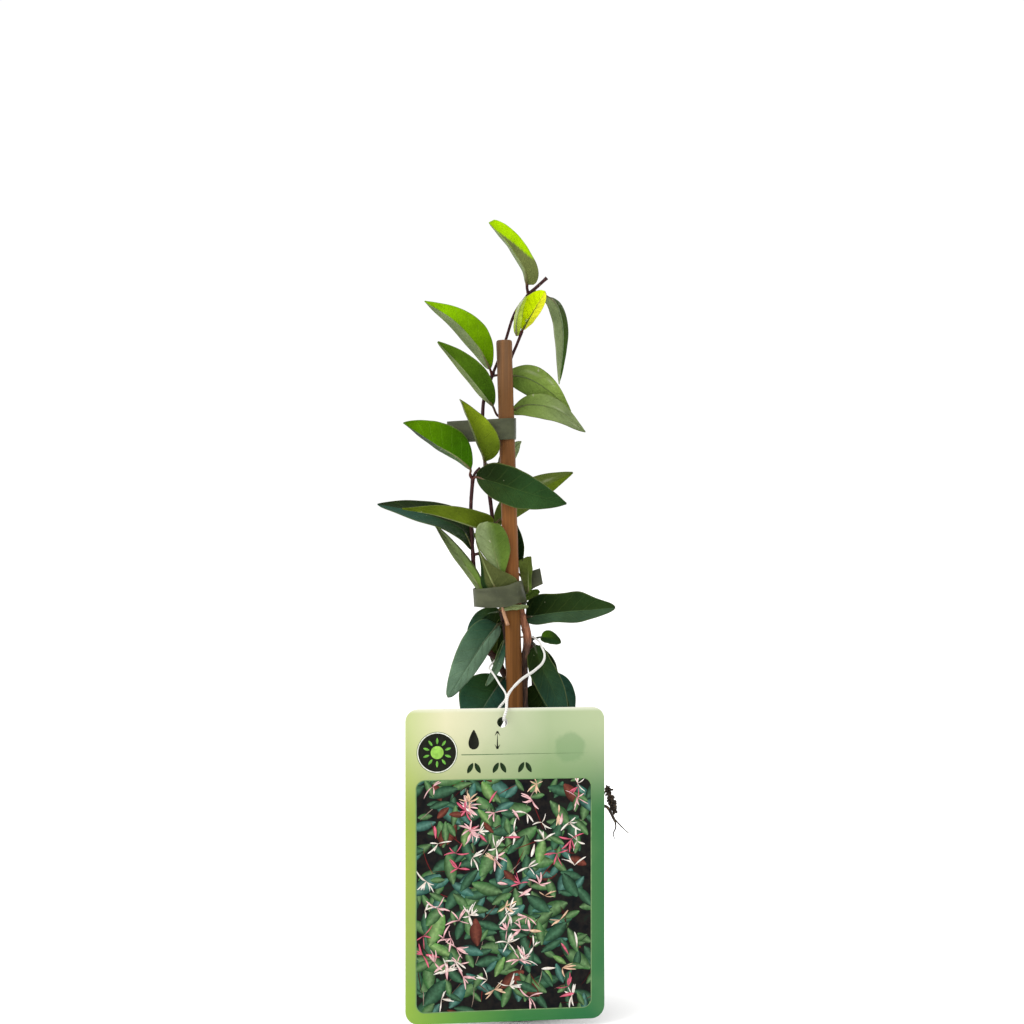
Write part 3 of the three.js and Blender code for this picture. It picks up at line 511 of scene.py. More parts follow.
pine_bark = Finish("bark_chips", 0.85)
streaks = pine_bark.grain(900, 4, 0.6, (1, 0.2, 1))
pine_bark.colour(pine_bark.steps(streaks, (0.3, 56, 33, 21), (0.7, 128, 86, 54)))
pine_bark.bump(streaks, 0.0003)
bm = bmesh.new()
for _ in range(CHIPS):
    x, y = strewn(0.92)
    form = tossed((-0.3, 0.3), (1, 2.2), (2.2, 4.5), (0.35, 0.6))
    chip = bmesh.ops.create_cube(bm, size=1 * MM, matrix=at(x, y, soil_height(x, y) + 0.7) @ form)
    sides = list({edge for corner in chip["verts"] for edge in corner.link_edges})
    bmesh.ops.bevel(bm, geom=sides, offset=0.18 * MM, segments=2, profile=0.5, affect="EDGES",
                    material=-1)
for _ in range(FIBRES):
    (x, y), aim = strewn(0.85), dice.uniform(0, 6.3)
    fibre = []
    for step in range(5):
        aim += dice.uniform(-0.6, 0.6)
        fibre.append((x, y, soil_height(x, y) + 0.45 + (0.6 if 0 < step < 4 else 0)))
        x, y = x + 1.7 * math.cos(aim), y + 1.7 * math.sin(aim)
        if math.hypot(x, y) > SOIL_EDGE - 1:
            break
    if len(fibre) > 2:
        draw_along(bm, flow(fibre, 9), 0.13, 5)
belongs(new_piece("bark_chips", bm, pine_bark))


# ---- The cane -----------------------------------------------------------------------------------
# A straight bamboo cane, 8 mm thick, pushed into the soil and leaning a little to the left. It has
# weathered to grey brown at its sawn top and is orange brown lower down.

CANE_RADIUS, CANE_FOOT, CANE_TOP = 4.0, Vector((6.6, 0, 14)), Vector((-3, 0, 334))
cane_length = (CANE_TOP - CANE_FOOT).length
side = CANE_RADIUS - 0.02
cane_profile = [(0, 0), (CANE_RADIUS - 0.5, 0), (CANE_RADIUS, 0.6)]
cane_profile += [(side + 0.05 * math.sin(step * 1.7), 2 + step * (cane_length - 4) / 60)
                 for step in range(61)]
cane_profile += [(radius, cane_length - drop) for radius, drop in (
    (side, 1.1), (side - 0.23, 0.4), (side - 0.78, 0.05), (2, 0), (1.5, 0.3), (1.1, 1.6), (0, 1.9))]
bm = spun(cane_profile, 40)
for corner in bm.verts:
    across = Vector((corner.co.x, corner.co.y, 0))
    flaw = noise.noise(Vector((across.x * 400, across.y * 400, corner.co.z * 26)))
    corner.co += across * 0.035 * flaw
upright = Vector((0, 0, 1)).rotation_difference(CANE_TOP - CANE_FOOT).to_matrix().to_4x4()
bmesh.ops.transform(bm, verts=bm.verts, matrix=at(*CANE_FOOT) @ upright)
bamboo = Finish("bamboo", 0.42, 0.12)
bamboo.set("Specular Tint", (1.0, 0.75, 0.45, 1))
fibres, broad = bamboo.grain(1500, 5, 0.6, (1, 1, 0.02)), bamboo.grain(420, 3, 0.5, (1, 1, 0.025))
stain = bamboo.grain(38, 4, 0.55, (1, 1, 0.45))
height = bamboo.axis("Z")
body = bamboo.steps(bamboo.band(height, 0.12, 0.335), (0.0, 104, 66, 32), (0.3, 118, 76, 36),
                    (0.47, 144, 90, 48), (0.62, 158, 102, 56), (0.82, 128, 84, 48),
                    (0.95, 114, 80, 50), (1.0, 124, 93, 68))
body = bamboo.blend(bamboo.band(stain, 0.48, 0.72, 0, 0.5), body, (100, 66, 40))
body = bamboo.blend(bamboo.band(broad, 0.42, 0.7, 0, 0.45), body, (160, 104, 54))
body = bamboo.blend(bamboo.band(fibres, 0.35, 0.75, 0.35, 0), body, (74, 44, 24))
# Painted shade: the left side of the cane's top is darkened where less light falls on it.
painted_left_shade = bamboo.times(bamboo.band(bamboo.axis("X"), -0.0056, -0.0034, 0.55, 0),
                      bamboo.band(height, 0.317, 0.325))  # painted shade on the left of its top
bamboo.colour(bamboo.blend(painted_left_shade, body, (72, 54, 42)))
bamboo.set("Roughness", bamboo.band(fibres, 0.3, 0.7, 0.34, 0.55))
bamboo.bump(bamboo.plus(fibres, broad), 0.00012)
belongs(new_piece("bamboo_cane", bm, bamboo), "cane")


# ---- The woody stem -----------------------------------------------------------------------------
# The vine's old main stem, 4 mm thick, which comes out of the soil behind the cane and bends over
# to the left above. Its thin reddish brown bark peels in papery strips.

WOODY_RADIUS, RIDGES, RIBBONS = 1.9, 0.16, 46
woody_path = [(10.4, 4, 66), (10.4, 4, 100), (7.2, 4.8, 146), (7, 4.8, 160), (7.4, 4.2, 174),
              (8.8, 3.3, 183.5), (8.4, 3.6, 188), (6.4, 4.5, 194.5), (4.4, 5.9, 200.5),
              (1.6, 7.4, 206), (-0.6, 7.7, 212)]
bark = Finish("peeling_bark", 0.82)
strips, patches = bark.grain(1000, 5, 0.65, (1, 1, 0.1)), bark.grain(260, 4, 0.6, (1, 1, 0.4))
flecks = bark.grain(900, 3, 0.7, (1, 1, 0.3))
# Low on the stem the bark is darker: partly older bark, partly painted shade where the stem stands
# behind the cane, the leaves and the label.
old_and_shaded_bark = bark.steps(strips, (0.3, 30, 20, 15), (0.5, 74, 48, 34), (0.72, 132, 92, 66))
old_and_shaded_bark = bark.blend(bark.band(patches, 0.5, 0.7, 0, 0.7), old_and_shaded_bark, (38, 28, 22))
upper_bark = bark.steps(strips, (0.3, 92, 52, 34), (0.5, 158, 98, 66), (0.72, 196, 136, 100))
body = bark.blend(bark.band(bark.axis("Z"), 0.177, 0.187), old_and_shaded_bark, upper_bark)
bark.colour(bark.blend(bark.band(flecks, 0.66, 0.74, 0, 0.8), body, (206, 186, 168)))
bark.bump(bark.plus(strips, patches), 0.00035)

bm = bmesh.new()
woody_line = flow(woody_path, 150)
girths = [WOODY_RADIUS + RIDGES * noise.noise(point * 0.35) for point in woody_line]
draw_along(bm, woody_line, girths, 22)
for corner in bm.verts:
    ridge = noise.noise(Vector((corner.co.x * 1400, corner.co.y * 1400, corner.co.z * 90)))
    corner.co += corner.normal * RIDGES * ridge * MM
dice = random.Random(7)
for _ in range(RIBBONS):  # strips of bark that lift off
    start, count = dice.randrange(62, 140), dice.randrange(4, 10)
    bearing, lift = dice.uniform(0, FULL_TURN), dice.uniform(0.15, 0.8)
    ribbon = []
    for step in range(min(count, len(woody_line) - 1 - start)):
        along = (woody_line[start + step + 1] - woody_line[start + step]).normalized()
        out = Matrix.Rotation(bearing + 0.08 * step, 3, along) @ along.orthogonal().normalized()
        ribbon.append(woody_line[start + step]
                      + out * (WOODY_RADIUS + 0.05 + lift * (step / count) ** 2))
    if len(ribbon) > 3:
        slim = [0.32 * math.sin(math.pi * (0.12 + 0.8 * step / len(ribbon)))
                for step in range(len(ribbon))]
        draw_along(bm, ribbon, slim, 6, 0.3)
belongs(new_piece("woody_stem_bark", bm, bark), "woody_stem")


# ---- The tall shoot at the top ------------------------------------------------------------------
# The youngest growth: thin dark purple stems with soft light green leaves in pairs, cut off above
# the topmost pair. A leaf is folded along its midrib, satin above and matt grey green below, and
# its short stalk runs on under the blade as the midrib.

GREENS = {  # the leaf tones, as they look in the room, painted light on them included
    "lemon": (248, 253, 50), "acid": (204, 234, 5), "butter": (180, 205, 70), "lime": (175, 222, 4),
    "spring": (140, 194, 2), "fresh": (96, 140, 2), "leafy": (88, 137, 2), "emerald": (56, 107, 4),
    "grass": (79, 115, 22), "clover": (62, 98, 18), "moss": (103, 125, 30),
    "meadow": (138, 162, 32), "thicket": (94, 113, 27), "sage": (102, 131, 54),
    "celery": (130, 156, 74), "dusty": (116, 126, 72), "olive": (98, 114, 52),
    "drab": (92, 100, 56), "bottle": (62, 82, 32), "forest": (38, 72, 38), "deep": (32, 56, 28),
    "night": (18, 36, 16), "teal": (40, 78, 66), "jade": (50, 84, 64), "slate": (96, 122, 98),
    "pine": (56, 82, 60), "mist": (112, 143, 118), "silver": (132, 149, 100),
    "pale": (156, 174, 122), "frost": (196, 204, 168)}
ACROSS, ALONG = 22, 44  # quads across and along a blade
BLADE_THICK, VEIN_PAIRS, VEIN_SLANT = 0.36, 7, 0.2
PLEAT, GROOVE, UNEVEN = 0.1, 0.22, 0.5  # how far a blade's surface rises and sinks
MIDRIB_DROP, MIDRIB_REACH, MIDRIB_TIP = 0.34, 0.86, 0.1  # below the blade, along it, end's radius
SWELLING, STALK_STEPS, BUD = 0.14, 12, (0.5, 0.45, 1.15)
PURPLE, WINE, MIDRIB, OLD_BARK = (56, 23, 24), (86, 42, 36), (128, 142, 84), (58, 34, 28)


def green(name):
    return Vector(paint(*GREENS[name])[:3])


def limit(value):
    return min(1, max(0, value))


def leaf(start, rib, right, left, tones, **more):
    """What makes a leaf: its stalk's points, its midrib's, how far each half spreads from it where
    the blade is widest, the tones of its left half's foot and tip and of its right half's, and
    whatever is unusual about it. The tones hold painted light as well as the leaf's own colour:
    a half lit through from behind is painted brighter, one that mirrors the pale room paler grey
    or blue green."""
    usual = {"right_tip": right, "left_tip": left, "peak": 0.42, "full": 0.8, "curl": 0.12,
             "heel": more.get("full", 0.8), "wave": 0, "waves": 2, "scallop": 0, "veins": 0.62,
             "under": False, "turns": None, "melt": None, "trim": None, "glints": (),
             "thick": 0.68, "nerve": None}
    return SimpleNamespace(start=start, rib=rib, left=left, right=right,
                           tones=[green(tone) for tone in tones.split()], **{**usual, **more})


def blade_tone(leaf, across, share):
    """The colour of the side that is seen, at a place across the blade and along it."""
    reach = abs(across)
    own, other = leaf.tones[2:], leaf.tones[:2]
    if across < 0:
        own, other = other, own
    start, end = 0.12, 0.82
    if leaf.turns and across > 0:  # a sharp painted border between shade at the foot and light let through at the tip, from the midrib to the margin
        start, end = leaf.turns
        start = end + (start - end) * (1 - reach) ** 1.7
        end = start + 0.05
    blend = limit((share - start) / (end - start))
    shown = own[0].lerp(own[1], blend * blend * (3 - 2 * blend))
    if leaf.melt:  # the two halves' tones run into each other over the midrib
        shown = shown.lerp(other[0].lerp(other[1], blend), 0.5 * max(0, 1 - reach / leaf.melt))
    if leaf.trim:  # a margin in another tone on one half: a whitish one is a painted sheen, a dark one painted shade along the edge
        half, tone, inner, low, high = leaf.trim
        if (half == "right") == (across > 0) and low < share < high:
            shown = shown.lerp(green(tone), limit((reach - inner) / 0.12))
    for spot, off, size in leaf.glints:  # a painted highlight: a whitish sheen where the skin turns to the light
        near = ((share - spot) / size) ** 2 + ((across - off) / 0.09) ** 2
        shown = shown.lerp(green("frost"), 0.45 * math.exp(-near))
    return shown


def add_blade(bm, leaf, seed):
    """One leaf blade, a grid bent to its midrib and to the fold and wave of its two halves."""
    rib = flow(leaf.rib, ALONG + 1)
    skew = math.log(0.5) / math.log(leaf.peak)
    hidden = green("deep" if leaf.under else "silver")
    layers = bm.verts.layers.float_color
    seen, unseen = ("under", "upper") if leaf.under else ("upper", "under")
    corners = bmesh.ops.create_grid(bm, x_segments=ACROSS, y_segments=ALONG, size=1,
                                    calc_uvs=True)["verts"]
    facing = Vector()
    for corner in corners:
        across, share = corner.co.x, (corner.co.y + 1) / 2
        step = round(share * ALONG)
        along = (rib[min(step + 1, ALONG)] - rib[max(step - 1, 0)]).normalized()
        across = math.copysign(abs(across) ** 1.35, across)
        reach = abs(across)
        left = Vector(leaf.left).lerp(Vector(leaf.left_tip), share)
        right = Vector(leaf.right).lerp(Vector(leaf.right_tip), share)
        wobble = noise.noise(Vector((share * 7, seed * 3.1, math.copysign(2, across))))
        width = math.sin(math.pi * share ** skew) ** (leaf.heel if share < leaf.peak else leaf.full)
        width = max(0.03, width) * (1 + 0.035 * wobble * reach)
        width *= 1 + leaf.scallop * math.sin(2 * FULL_TURN * share) * reach
        soft = math.sqrt(across * across + 0.0025)
        leftward, rightward = (soft - across) / 2, (soft + across) / 2
        out = (left.cross(along).normalized() * leftward
               + along.cross(right).normalized() * rightward).normalized()
        facing += out
        lift = leaf.wave * math.sin(FULL_TURN * leaf.waves * share) * width * reach ** 2
        lift -= leaf.curl * (right if across > 0 else left).length * width * reach ** 2
        lift += UNEVEN * noise.noise(Vector((share * 5, seed * 5.3, across * 1.3))) * reach
        order = (share - VEIN_SLANT * reach ** 1.2) * VEIN_PAIRS + (0.5 if across < 0 else 0)
        pleat = 1 - math.cos(FULL_TURN * order)
        lift += PLEAT * pleat * min(1, 5 * reach) * (1 - reach ** 3) * width
        lift -= GROOVE * math.exp(-(across / 0.05) ** 2) * width
        corner.co = (rib[step] + (left * leftward + right * rightward) * width + out * lift) * MM
        shown = blade_tone(leaf, across, share)
        corner[layers[seen]] = (*shown, leaf.veins)
        corner[layers[unseen]] = (*shown.lerp(hidden, 0.6), leaf.veins)
    front = -facing.y > 0  # the side that the fold is measured from looks to the front
    if front != leaf.under:  # a grid's own faces look the other way from that side
        bmesh.ops.reverse_faces(bm, faces=list({face for corner in corners
                                                for face in corner.link_faces}))
    return rib, -facing.normalized() if front == leaf.under else facing.normalized()


def leaf_finish(name, layer, roughness, gloss, raised):
    """Leaf skin: mottled tissue in fine cells, a midrib with side veins, and a thin pale margin."""
    skin = Finish(name, roughness, gloss)
    tone = skin.node("Attribute", attribute_name=layer, out="Color")
    light = skin.node("Attribute", attribute_name=layer, out="Alpha")
    blade = skin.node("UVMap", uv_map="blade")
    across = skin.sum("SUBTRACT", skin.times(skin.axis("X", blade), 2.0), 1.0)
    reach = skin.sum("ABSOLUTE", across)
    slant = skin.times(skin.sum("POWER", reach, 1.2), VEIN_SLANT)
    order = skin.times(skin.sum("SUBTRACT", skin.axis("Y", blade), slant), VEIN_PAIRS)
    order = skin.plus(order, skin.times(skin.sum("LESS_THAN", across, 0.0), 0.5))
    order = skin.plus(order, skin.times(skin.sum("SUBTRACT", skin.grain(220, 2), 0.5), 0.35))
    side_vein = skin.times(skin.band(skin.sum("PINGPONG", order, 0.5), 0.02, 0.075, 1, 0),
                           skin.band(reach, 0.75, 1.0, 1, 0.1))
    midrib = skin.band(reach, 0.02, 0.07, 1, 0)
    fine = skin.grain(900, 3, 0.6)
    cell = skin.node("TexVoronoi", ("Vector", skin.here), ("Scale", 1150),
                     feature="DISTANCE_TO_EDGE", out="Distance")
    body = skin.mottle(tone, skin.grain(130, 3), (0.84, 0.84, 0.84), (1.14, 1.12, 1.1))
    body = skin.mottle(body, skin.grain(48, 2), (0.78, 0.8, 0.8), (1.2, 1.18, 1.2), 0.32, 0.68)
    body = skin.mottle(body, fine, (0.92, 0.92, 0.92), (1.07, 1.07, 1.07))
    body = skin.blend(skin.band(cell, 0.0, 0.16, 0.3, 0), body, skin.tint(body, 1.5, 1.45, 1.5))
    bright = skin.blend(0.16, skin.tint(body, 1.55, 1.5, 1.35), (142, 164, 84))
    vein_tone = skin.blend(light, skin.tint(body, 0.5, 0.48, 0.5), bright)
    body = skin.blend(skin.times(side_vein, 0.38), body, vein_tone)
    body = skin.blend(skin.times(midrib, 0.75), body, vein_tone)
    body = skin.blend(skin.band(reach, 0.95, 1.0, 0, 0.35), body, (140, 146, 84))
    body = skin.blend(skin.band(skin.grain(310, 1), 0.77, 0.8, 0, 0.6), body, (190, 190, 160))
    skin.colour(body)
    skin.set("Roughness", skin.band(fine, 0.3, 0.7, roughness - 0.06, roughness + 0.1))
    skin.set("Specular Tint", (0.62, 0.85, 0.12, 1))
    relief = skin.plus(skin.times(skin.band(cell, 0, 0.25), 0.35), skin.times(fine, 0.3))
    veins = skin.times(skin.sum("MAXIMUM", side_vein, midrib), raised)
    skin.bump(skin.plus(relief, veins), 0.00015)
    skin.let_through(0.2, skin.tint(body, 1.25, 1.4, 0.4))
    return skin


leaf_upper = leaf_finish("leaf_upper_skin", "upper", 0.4, 0.14, -0.8)
leaf_under = leaf_finish("leaf_under_skin", "under", 0.55, 0.08, 1.0)

rind = Finish("green_stem", 0.46, 0.15)
streak = rind.grain(1100, 4, 0.6, (1, 1, 0.2))
body = rind.mottle(rind.node("Attribute", attribute_name="tone", out="Color"), streak,
                   (0.7, 0.7, 0.7), (1.3, 1.25, 1.25))
body = rind.blend(rind.band(rind.grain(300, 3), 0.55, 0.75, 0, 0.4), body, (112, 72, 60))
rind.colour(rind.blend(rind.band(rind.grain(700, 1), 0.72, 0.76, 0, 0.6), body, (176, 156, 132)))
rind.bump(streak, 0.00012)


def grow(name, node, stems, leaves, bark=PURPLE, stalk=WINE, nerve=MIDRIB):
    """A leafy shoot: its stems with swollen joints, its leaves, and their stalks and buds."""
    bm, blades = bmesh.new(), bmesh.new()
    tone = bm.verts.layers.float_color.new("tone")
    blades.loops.layers.uv.new("blade")
    for side in ("upper", "under"):
        blades.verts.layers.float_color.new(side)
    for path, radius in stems:
        length = sum((Vector(q) - Vector(p)).length for p, q in zip(path, path[1:]))
        line = flow(path, max(8, round(length / 0.9)))
        girths = []
        for step, point in enumerate(line):
            swollen = math.exp(-(min(step, len(line) - 1 - step) / 2.2) ** 2)
            girths.append(radius * (1 + 0.05 * noise.noise(point * 0.6) + SWELLING * swollen))
        for corner in draw_along(bm, line, girths, 10):
            corner[tone] = paint(*bark)
    for seed, leaf in enumerate(leaves, len(name)):
        rib, up = add_blade(blades, leaf, seed)
        route = flow([*leaf.start, leaf.rib[0], rib[3]], STALK_STEPS)[:-1]
        midrib = [rib[step] - up * MIDRIB_DROP for step in range(3, round(ALONG * MIDRIB_REACH))]
        foot = leaf.thick * 0.9
        girths = [leaf.thick * (1.25 - 0.35 * min(1, step / len(route) * 3))
                  for step in range(len(route))]
        girths += [foot - (foot - MIDRIB_TIP) * (step / len(midrib)) ** 0.6
                   for step in range(len(midrib))]
        ends = Vector(paint(*stalk)), Vector(paint(*(leaf.nerve or nerve)))
        for corner, (_, step) in draw_along(bm, route + midrib, girths, 8).items():
            corner[tone] = ends[0].lerp(ends[1], limit((step - 4) / 14))
        start = Vector(leaf.start[0])
        bud = start.lerp(route[3], 0.5) + Vector((0, -0.3, 0.8))
        lean = (Vector(leaf.rib[0]) - start).normalized() + Vector((0, 0, 1.5))
        place = at(*bud) @ lean.to_track_quat("Z", "Y").to_matrix().to_4x4()
        for corner in bmesh.ops.create_icosphere(bm, subdivisions=2, radius=1 * MM, matrix=place
                                                 @ Matrix.Diagonal((*BUD, 1)))["verts"]:
            corner[tone] = paint(*bark)
    woody = new_piece(name + "_stems", bm, rind)
    leafy = new_piece(name + "_leaves", blades, leaf_upper, leaf_under)
    skin = leafy.modifiers.new("thickness", "SOLIDIFY")
    skin.thickness, skin.offset, skin.material_offset = BLADE_THICK * MM, -1, 1
    skin.use_even_offset, skin.use_quality_normals = False, True
    for piece in (woody, leafy):
        belongs(piece, node)


grow("tall_shoot", "shoot_tall", [
    ([(-3.7, 8, 211), (-6.5, 5.4, 218), (-8, 3, 230), (-8.5, 1.5, 241.5), (-10.3, 0.6, 257),
      (-12.3, 1, 271)], 1),
    ([(-12.3, 1, 270), (-13.5, 1, 284), (-13.6, 1.4, 299), (-12.9, 2, 305), (-9, 4, 316.5)], 0.9),
    ([(-9.2, 3.9, 316), (-7, 5.5, 321.5), (-4, 7, 329), (-2, 7, 335), (2.5, 5, 348),
      (9.5, 2, 357.5)], 0.75),
    ([(9.2, 2.2, 357.2), (12, 1.6, 359.4), (18.5, 1, 365.2)], 0.85),
    ([(9.5, 2, 357), (8.6, 1, 359.4), (8.5, 0.6, 362)], 0.7)], [
    # Its right half is painted dusty green in shade at its foot and lime where lit through towards
    # the tip; its left half is painted silver as a sheen.
    leaf([(9, 1.6, 357.6)], [(8.3, 0.4, 361.8), (7.2, -4, 368.1), (3.6, -8, 374.4),
         (-1, -12, 380.9), (-10.4, -15, 390.7)], (8.2, 3.5, -1.6), (-0.6, 5.5, 0),
         "silver silver dusty lime", right_tip=(5.4, 2, 6.4), left_tip=(-0.4, 5.5, -0.2), peak=0.4,
         full=0.35, heel=0.5, turns=(0.87, 0.34)),
    # Its whitish left margin is a painted sheen.
    leaf([(9.6, 2.2, 357.6), (13, 4.4, 358.6)], [(19, 5.4, 356), (22.7, 5.8, 352.8),
         (25.7, 7.1, 344.6), (26.6, 10.4, 333.2), (24.8, 14, 312.7)], (3.2, 4, 0.8),
         (-4.3, -4, -0.6), "silver pale bottle clover", peak=0.3, heel=0.33, under=True,
         trim=("left", "frost", 0.9, 0.3, 0.95), nerve=(112, 134, 92)),
    # Its right half is painted bright green as lit through from behind, and its narrow left half
    # grey green as a painted reflection of the pale room.
    leaf([(-9, 4, 316.4)], [(-10, 2.4, 319.5), (-16.6, -4.1, 331.3), (-27.8, -12, 343),
         (-42.1, -19, 351.5)], (6.8, 0, 5.8), (-2.4, 6.5, -2.6), "silver silver fresh spring"),
    leaf([(-9, 4, 316.2), (-6.4, 7, 316.8)], [(-3.4, 8.8, 317.2), (8, 10.9, 315.7),
         (20.1, 13.2, 308.8), (30.7, 17, 298.9)], (-2.6, 1, -7.6), (2.4, 1.5, 7),
         "celery celery sage celery", under=True, melt=0.3,
         glints=[(0.34, -0.5, 0.09), (0.6, -0.66, 0.06)], nerve=(92, 112, 56)),
    leaf([(-12.3, 0.8, 271)], [(-12.6, -2.6, 273), (-15.6, -8, 280.9), (-19.9, -14.8, 291.7),
         (-24.7, -22, 303.4)], (11, -0.6, 2.4), (-1.4, -6, 0.6), "olive frost moss meadow",
         peak=0.36, under=True),
    leaf([(-12.3, 1.2, 270.6), (-9, 6.4, 271)], [(-6, 9.6, 272.6), (0, 13.1, 277.3),
         (5.6, 17, 283.8)], (1.6, 0.5, -3.8), (-1.6, 1, 3.8), "silver pale silver pale",
         under=True),
    leaf([(-8.5, 1.4, 241.6)], [(-8, -1, 239.5), (-15.9, -5, 240.3), (-25.8, -9.5, 243.5),
         (-38, -14, 247), (-53.1, -20, 249.5)], (1, -3, 9), (0, 2.6, 0.6),
         "deep teal thicket thicket", right_tip=(1, -3, 6.4), peak=0.27, heel=0.6, under=True),
    leaf([(-8.5, 1.8, 241.4), (-8, 4.6, 242.4)], [(-7.4, 8, 242.4), (2.4, 12.6, 250.6),
         (16.1, 16.5, 259.7), (31.9, 20, 268.2)], (2, 1.5, -5), (-4.4, 0.5, 7.2),
         "sage olive olive moss", heel=0.6, glints=[(0.72, -0.4, 0.06)])])


# ---- The left shoot -----------------------------------------------------------------------------
# A second shoot that comes out under the lower tie and climbs on the left of the cane. Its leaves
# are older, so they are a deeper and glossier green.

grow("left_shoot", "shoot_left", [
    ([(-3.2, 7.9, 206.2), (-7, 7, 203.6), (-11.6, 4.4, 203.6), (-15.4, 1, 208.6), (-18, -0.4, 220),
      (-18.5, -0.6, 227)], 1.05),
    ([(-18.5, -0.6, 226), (-19.4, -1, 242), (-19.5, -1, 252), (-18.6, -1, 264.5)], 0.95),
    ([(-18.6, -1, 264), (-17.4, -1.2, 267.4), (-14.8, -1.4, 270)], 0.75),
    ([(-18.5, -0.6, 226.6), (-17, -0.8, 226.9), (-15.6, -1.2, 227.2)], 0.75)], [
    # Its right half is painted bright green as lit through from behind.
    leaf([(-18.7, -1, 264.4), (-20, -2, 266.4)], [(-19.6, -3, 269), (-26, -5.9, 274.8),
         (-36.9, -10.7, 281.5), (-52.6, -17, 291.7)], (6, -1, 10.4), (-0.2, 7, -1.2),
         "clover deep emerald leafy", full=0.74, veins=1),
    leaf([(-18.5, -1.2, 264.6)], [(-16.8, -4, 265.4), (-7, -9.3, 262.6), (9, -14.4, 257.4),
         (27.8, -19, 252)], (-1, -1.6, -9.2), (-0.4, -1.4, 11), "night forest deep forest",
         peak=0.4, nerve=(84, 104, 62)),
    # Its teal is partly a painted reflection of the pale room on its glossy top.
    leaf([(-18.5, -0.6, 227.2)], [(-18.8, -0.8, 229.4), (-23.4, -0.4, 238.4), (-40.2, 1.7, 246.4),
         (-66.7, 7, 252)], (4.4, 7.6, 5.4), (-2.4, -5.6, -4.6), "deep teal night night", full=0.7,
         wave=0.5),
    # The dark band along its right margin is painted shade.
    leaf([(-13.6, 2.6, 205)], [(-13, -1.2, 205), (-17, -0.7, 213.5), (-25.3, 2.3, 225.7),
         (-38, 9, 242.2)], (3.3, -3.4, 2.2), (-1.8, -1, -1.2), "silver silver sage silver",
         left_tip=(-3.2, -2.6, -2.1), heel=0.4, under=True,
         trim=("right", "night", 0.8, 0.08, 0.96))])


# ---- The back shoot -----------------------------------------------------------------------------
# The third shoot runs up close behind the cane, from the woody stem to the yellow green pair above
# the cane's top. The lowest leaf is torn off short and sticks out to the right over the tie.

grow("back_shoot", "shoot_back", [
    ([(-0.8, 7.7, 212.6), (-0.2, 7.2, 222), (-0.6, 6.7, 240), (-2, 6.6, 262), (-2.8, 6.6, 280),
      (-3.5, 6.6, 295)], 1),
    ([(-3.5, 6.6, 294.4), (-3, 6.6, 310), (0.5, 6.2, 325), (3.4, 5, 332), (6, 3.6, 338.5)],
      0.75)], [
    leaf([(5.8, 3.8, 338)], [(6.4, 3, 339.4), (9.8, -2.3, 345.3), (13.6, -5.8, 351.3),
         (17.5, -9, 357.6)], (1.1, 3, -0.9), (-6.6, -1.4, 4.4), "acid acid lemon lemon",
         right_tip=(3.6, 3, -2.6), full=0.5, heel=0.62, under=True, veins=0.4, nerve=(96, 116, 20)),
    leaf([(5.6, 4, 338)], [(3.3, 1.5, 336.6), (3.4, -4, 342.8), (4.9, -7.5, 349.1), (8, -9.4, 355)],
         (2.4, 0, -0.5), (-1.4, 1, 0.5), "butter frost butter butter", full=0.8, heel=0.5,
         under=True),
    leaf([(-3.5, 6.2, 295.4), (-6.4, 5, 296.6)], [(-8.6, 2.4, 301), (-15.4, -2.8, 309.5),
         (-25.3, -8.6, 321.2), (-35.8, -13, 332.1)], (6.6, -1, 5.4), (-1.8, -4.6, -2),
         "pale silver clover grass"),
    leaf([(-3.5, 6.6, 295.4)], [(0, 6.6, 298.2), (9, 6.8, 301.7), (23.1, 8.2, 299.2),
         (37.9, 12, 288.4)], (-0.6, -2.6, -6.8), (0.4, 3, 5.8), "celery silver celery silver",
         under=True, veins=0.7, melt=0.3, glints=[(0.6, -0.2, 0.09), (0.84, 0.3, 0.06)],
         nerve=(92, 112, 56)),
    leaf([(-0.2, 7.2, 222)], [(1.4, 7, 222), (2.6, 6.8, 232), (2, 6.6, 246)], (5, -1, -1),
         (-4, 3, 0), "moss moss night deep", peak=0.3, full=1, heel=0.2, under=True),
    leaf([(-0.2, 7.2, 219), (5.4, 7.8, 216)], [(9.2, 6.6, 207.3), (9.2, 6.2, 214),
         (8.8, 5.8, 225.6)], (1.5, -0.6, 0.4), (-2, 0.4, -0.3), "drab olive sage olive",
         right_tip=(2.6, -0.6, 0.9), left_tip=(-5.6, 0.6, -1.6), full=0.1, heel=0.3, wave=0.8,
         under=True, melt=0.5)])


# ---- The trapped twig ---------------------------------------------------------------------------
# A short side twig caught under the lower tie in front of the cane. It shows the pale undersides of
# two broad leaves above the tape and the edge of a third below it.

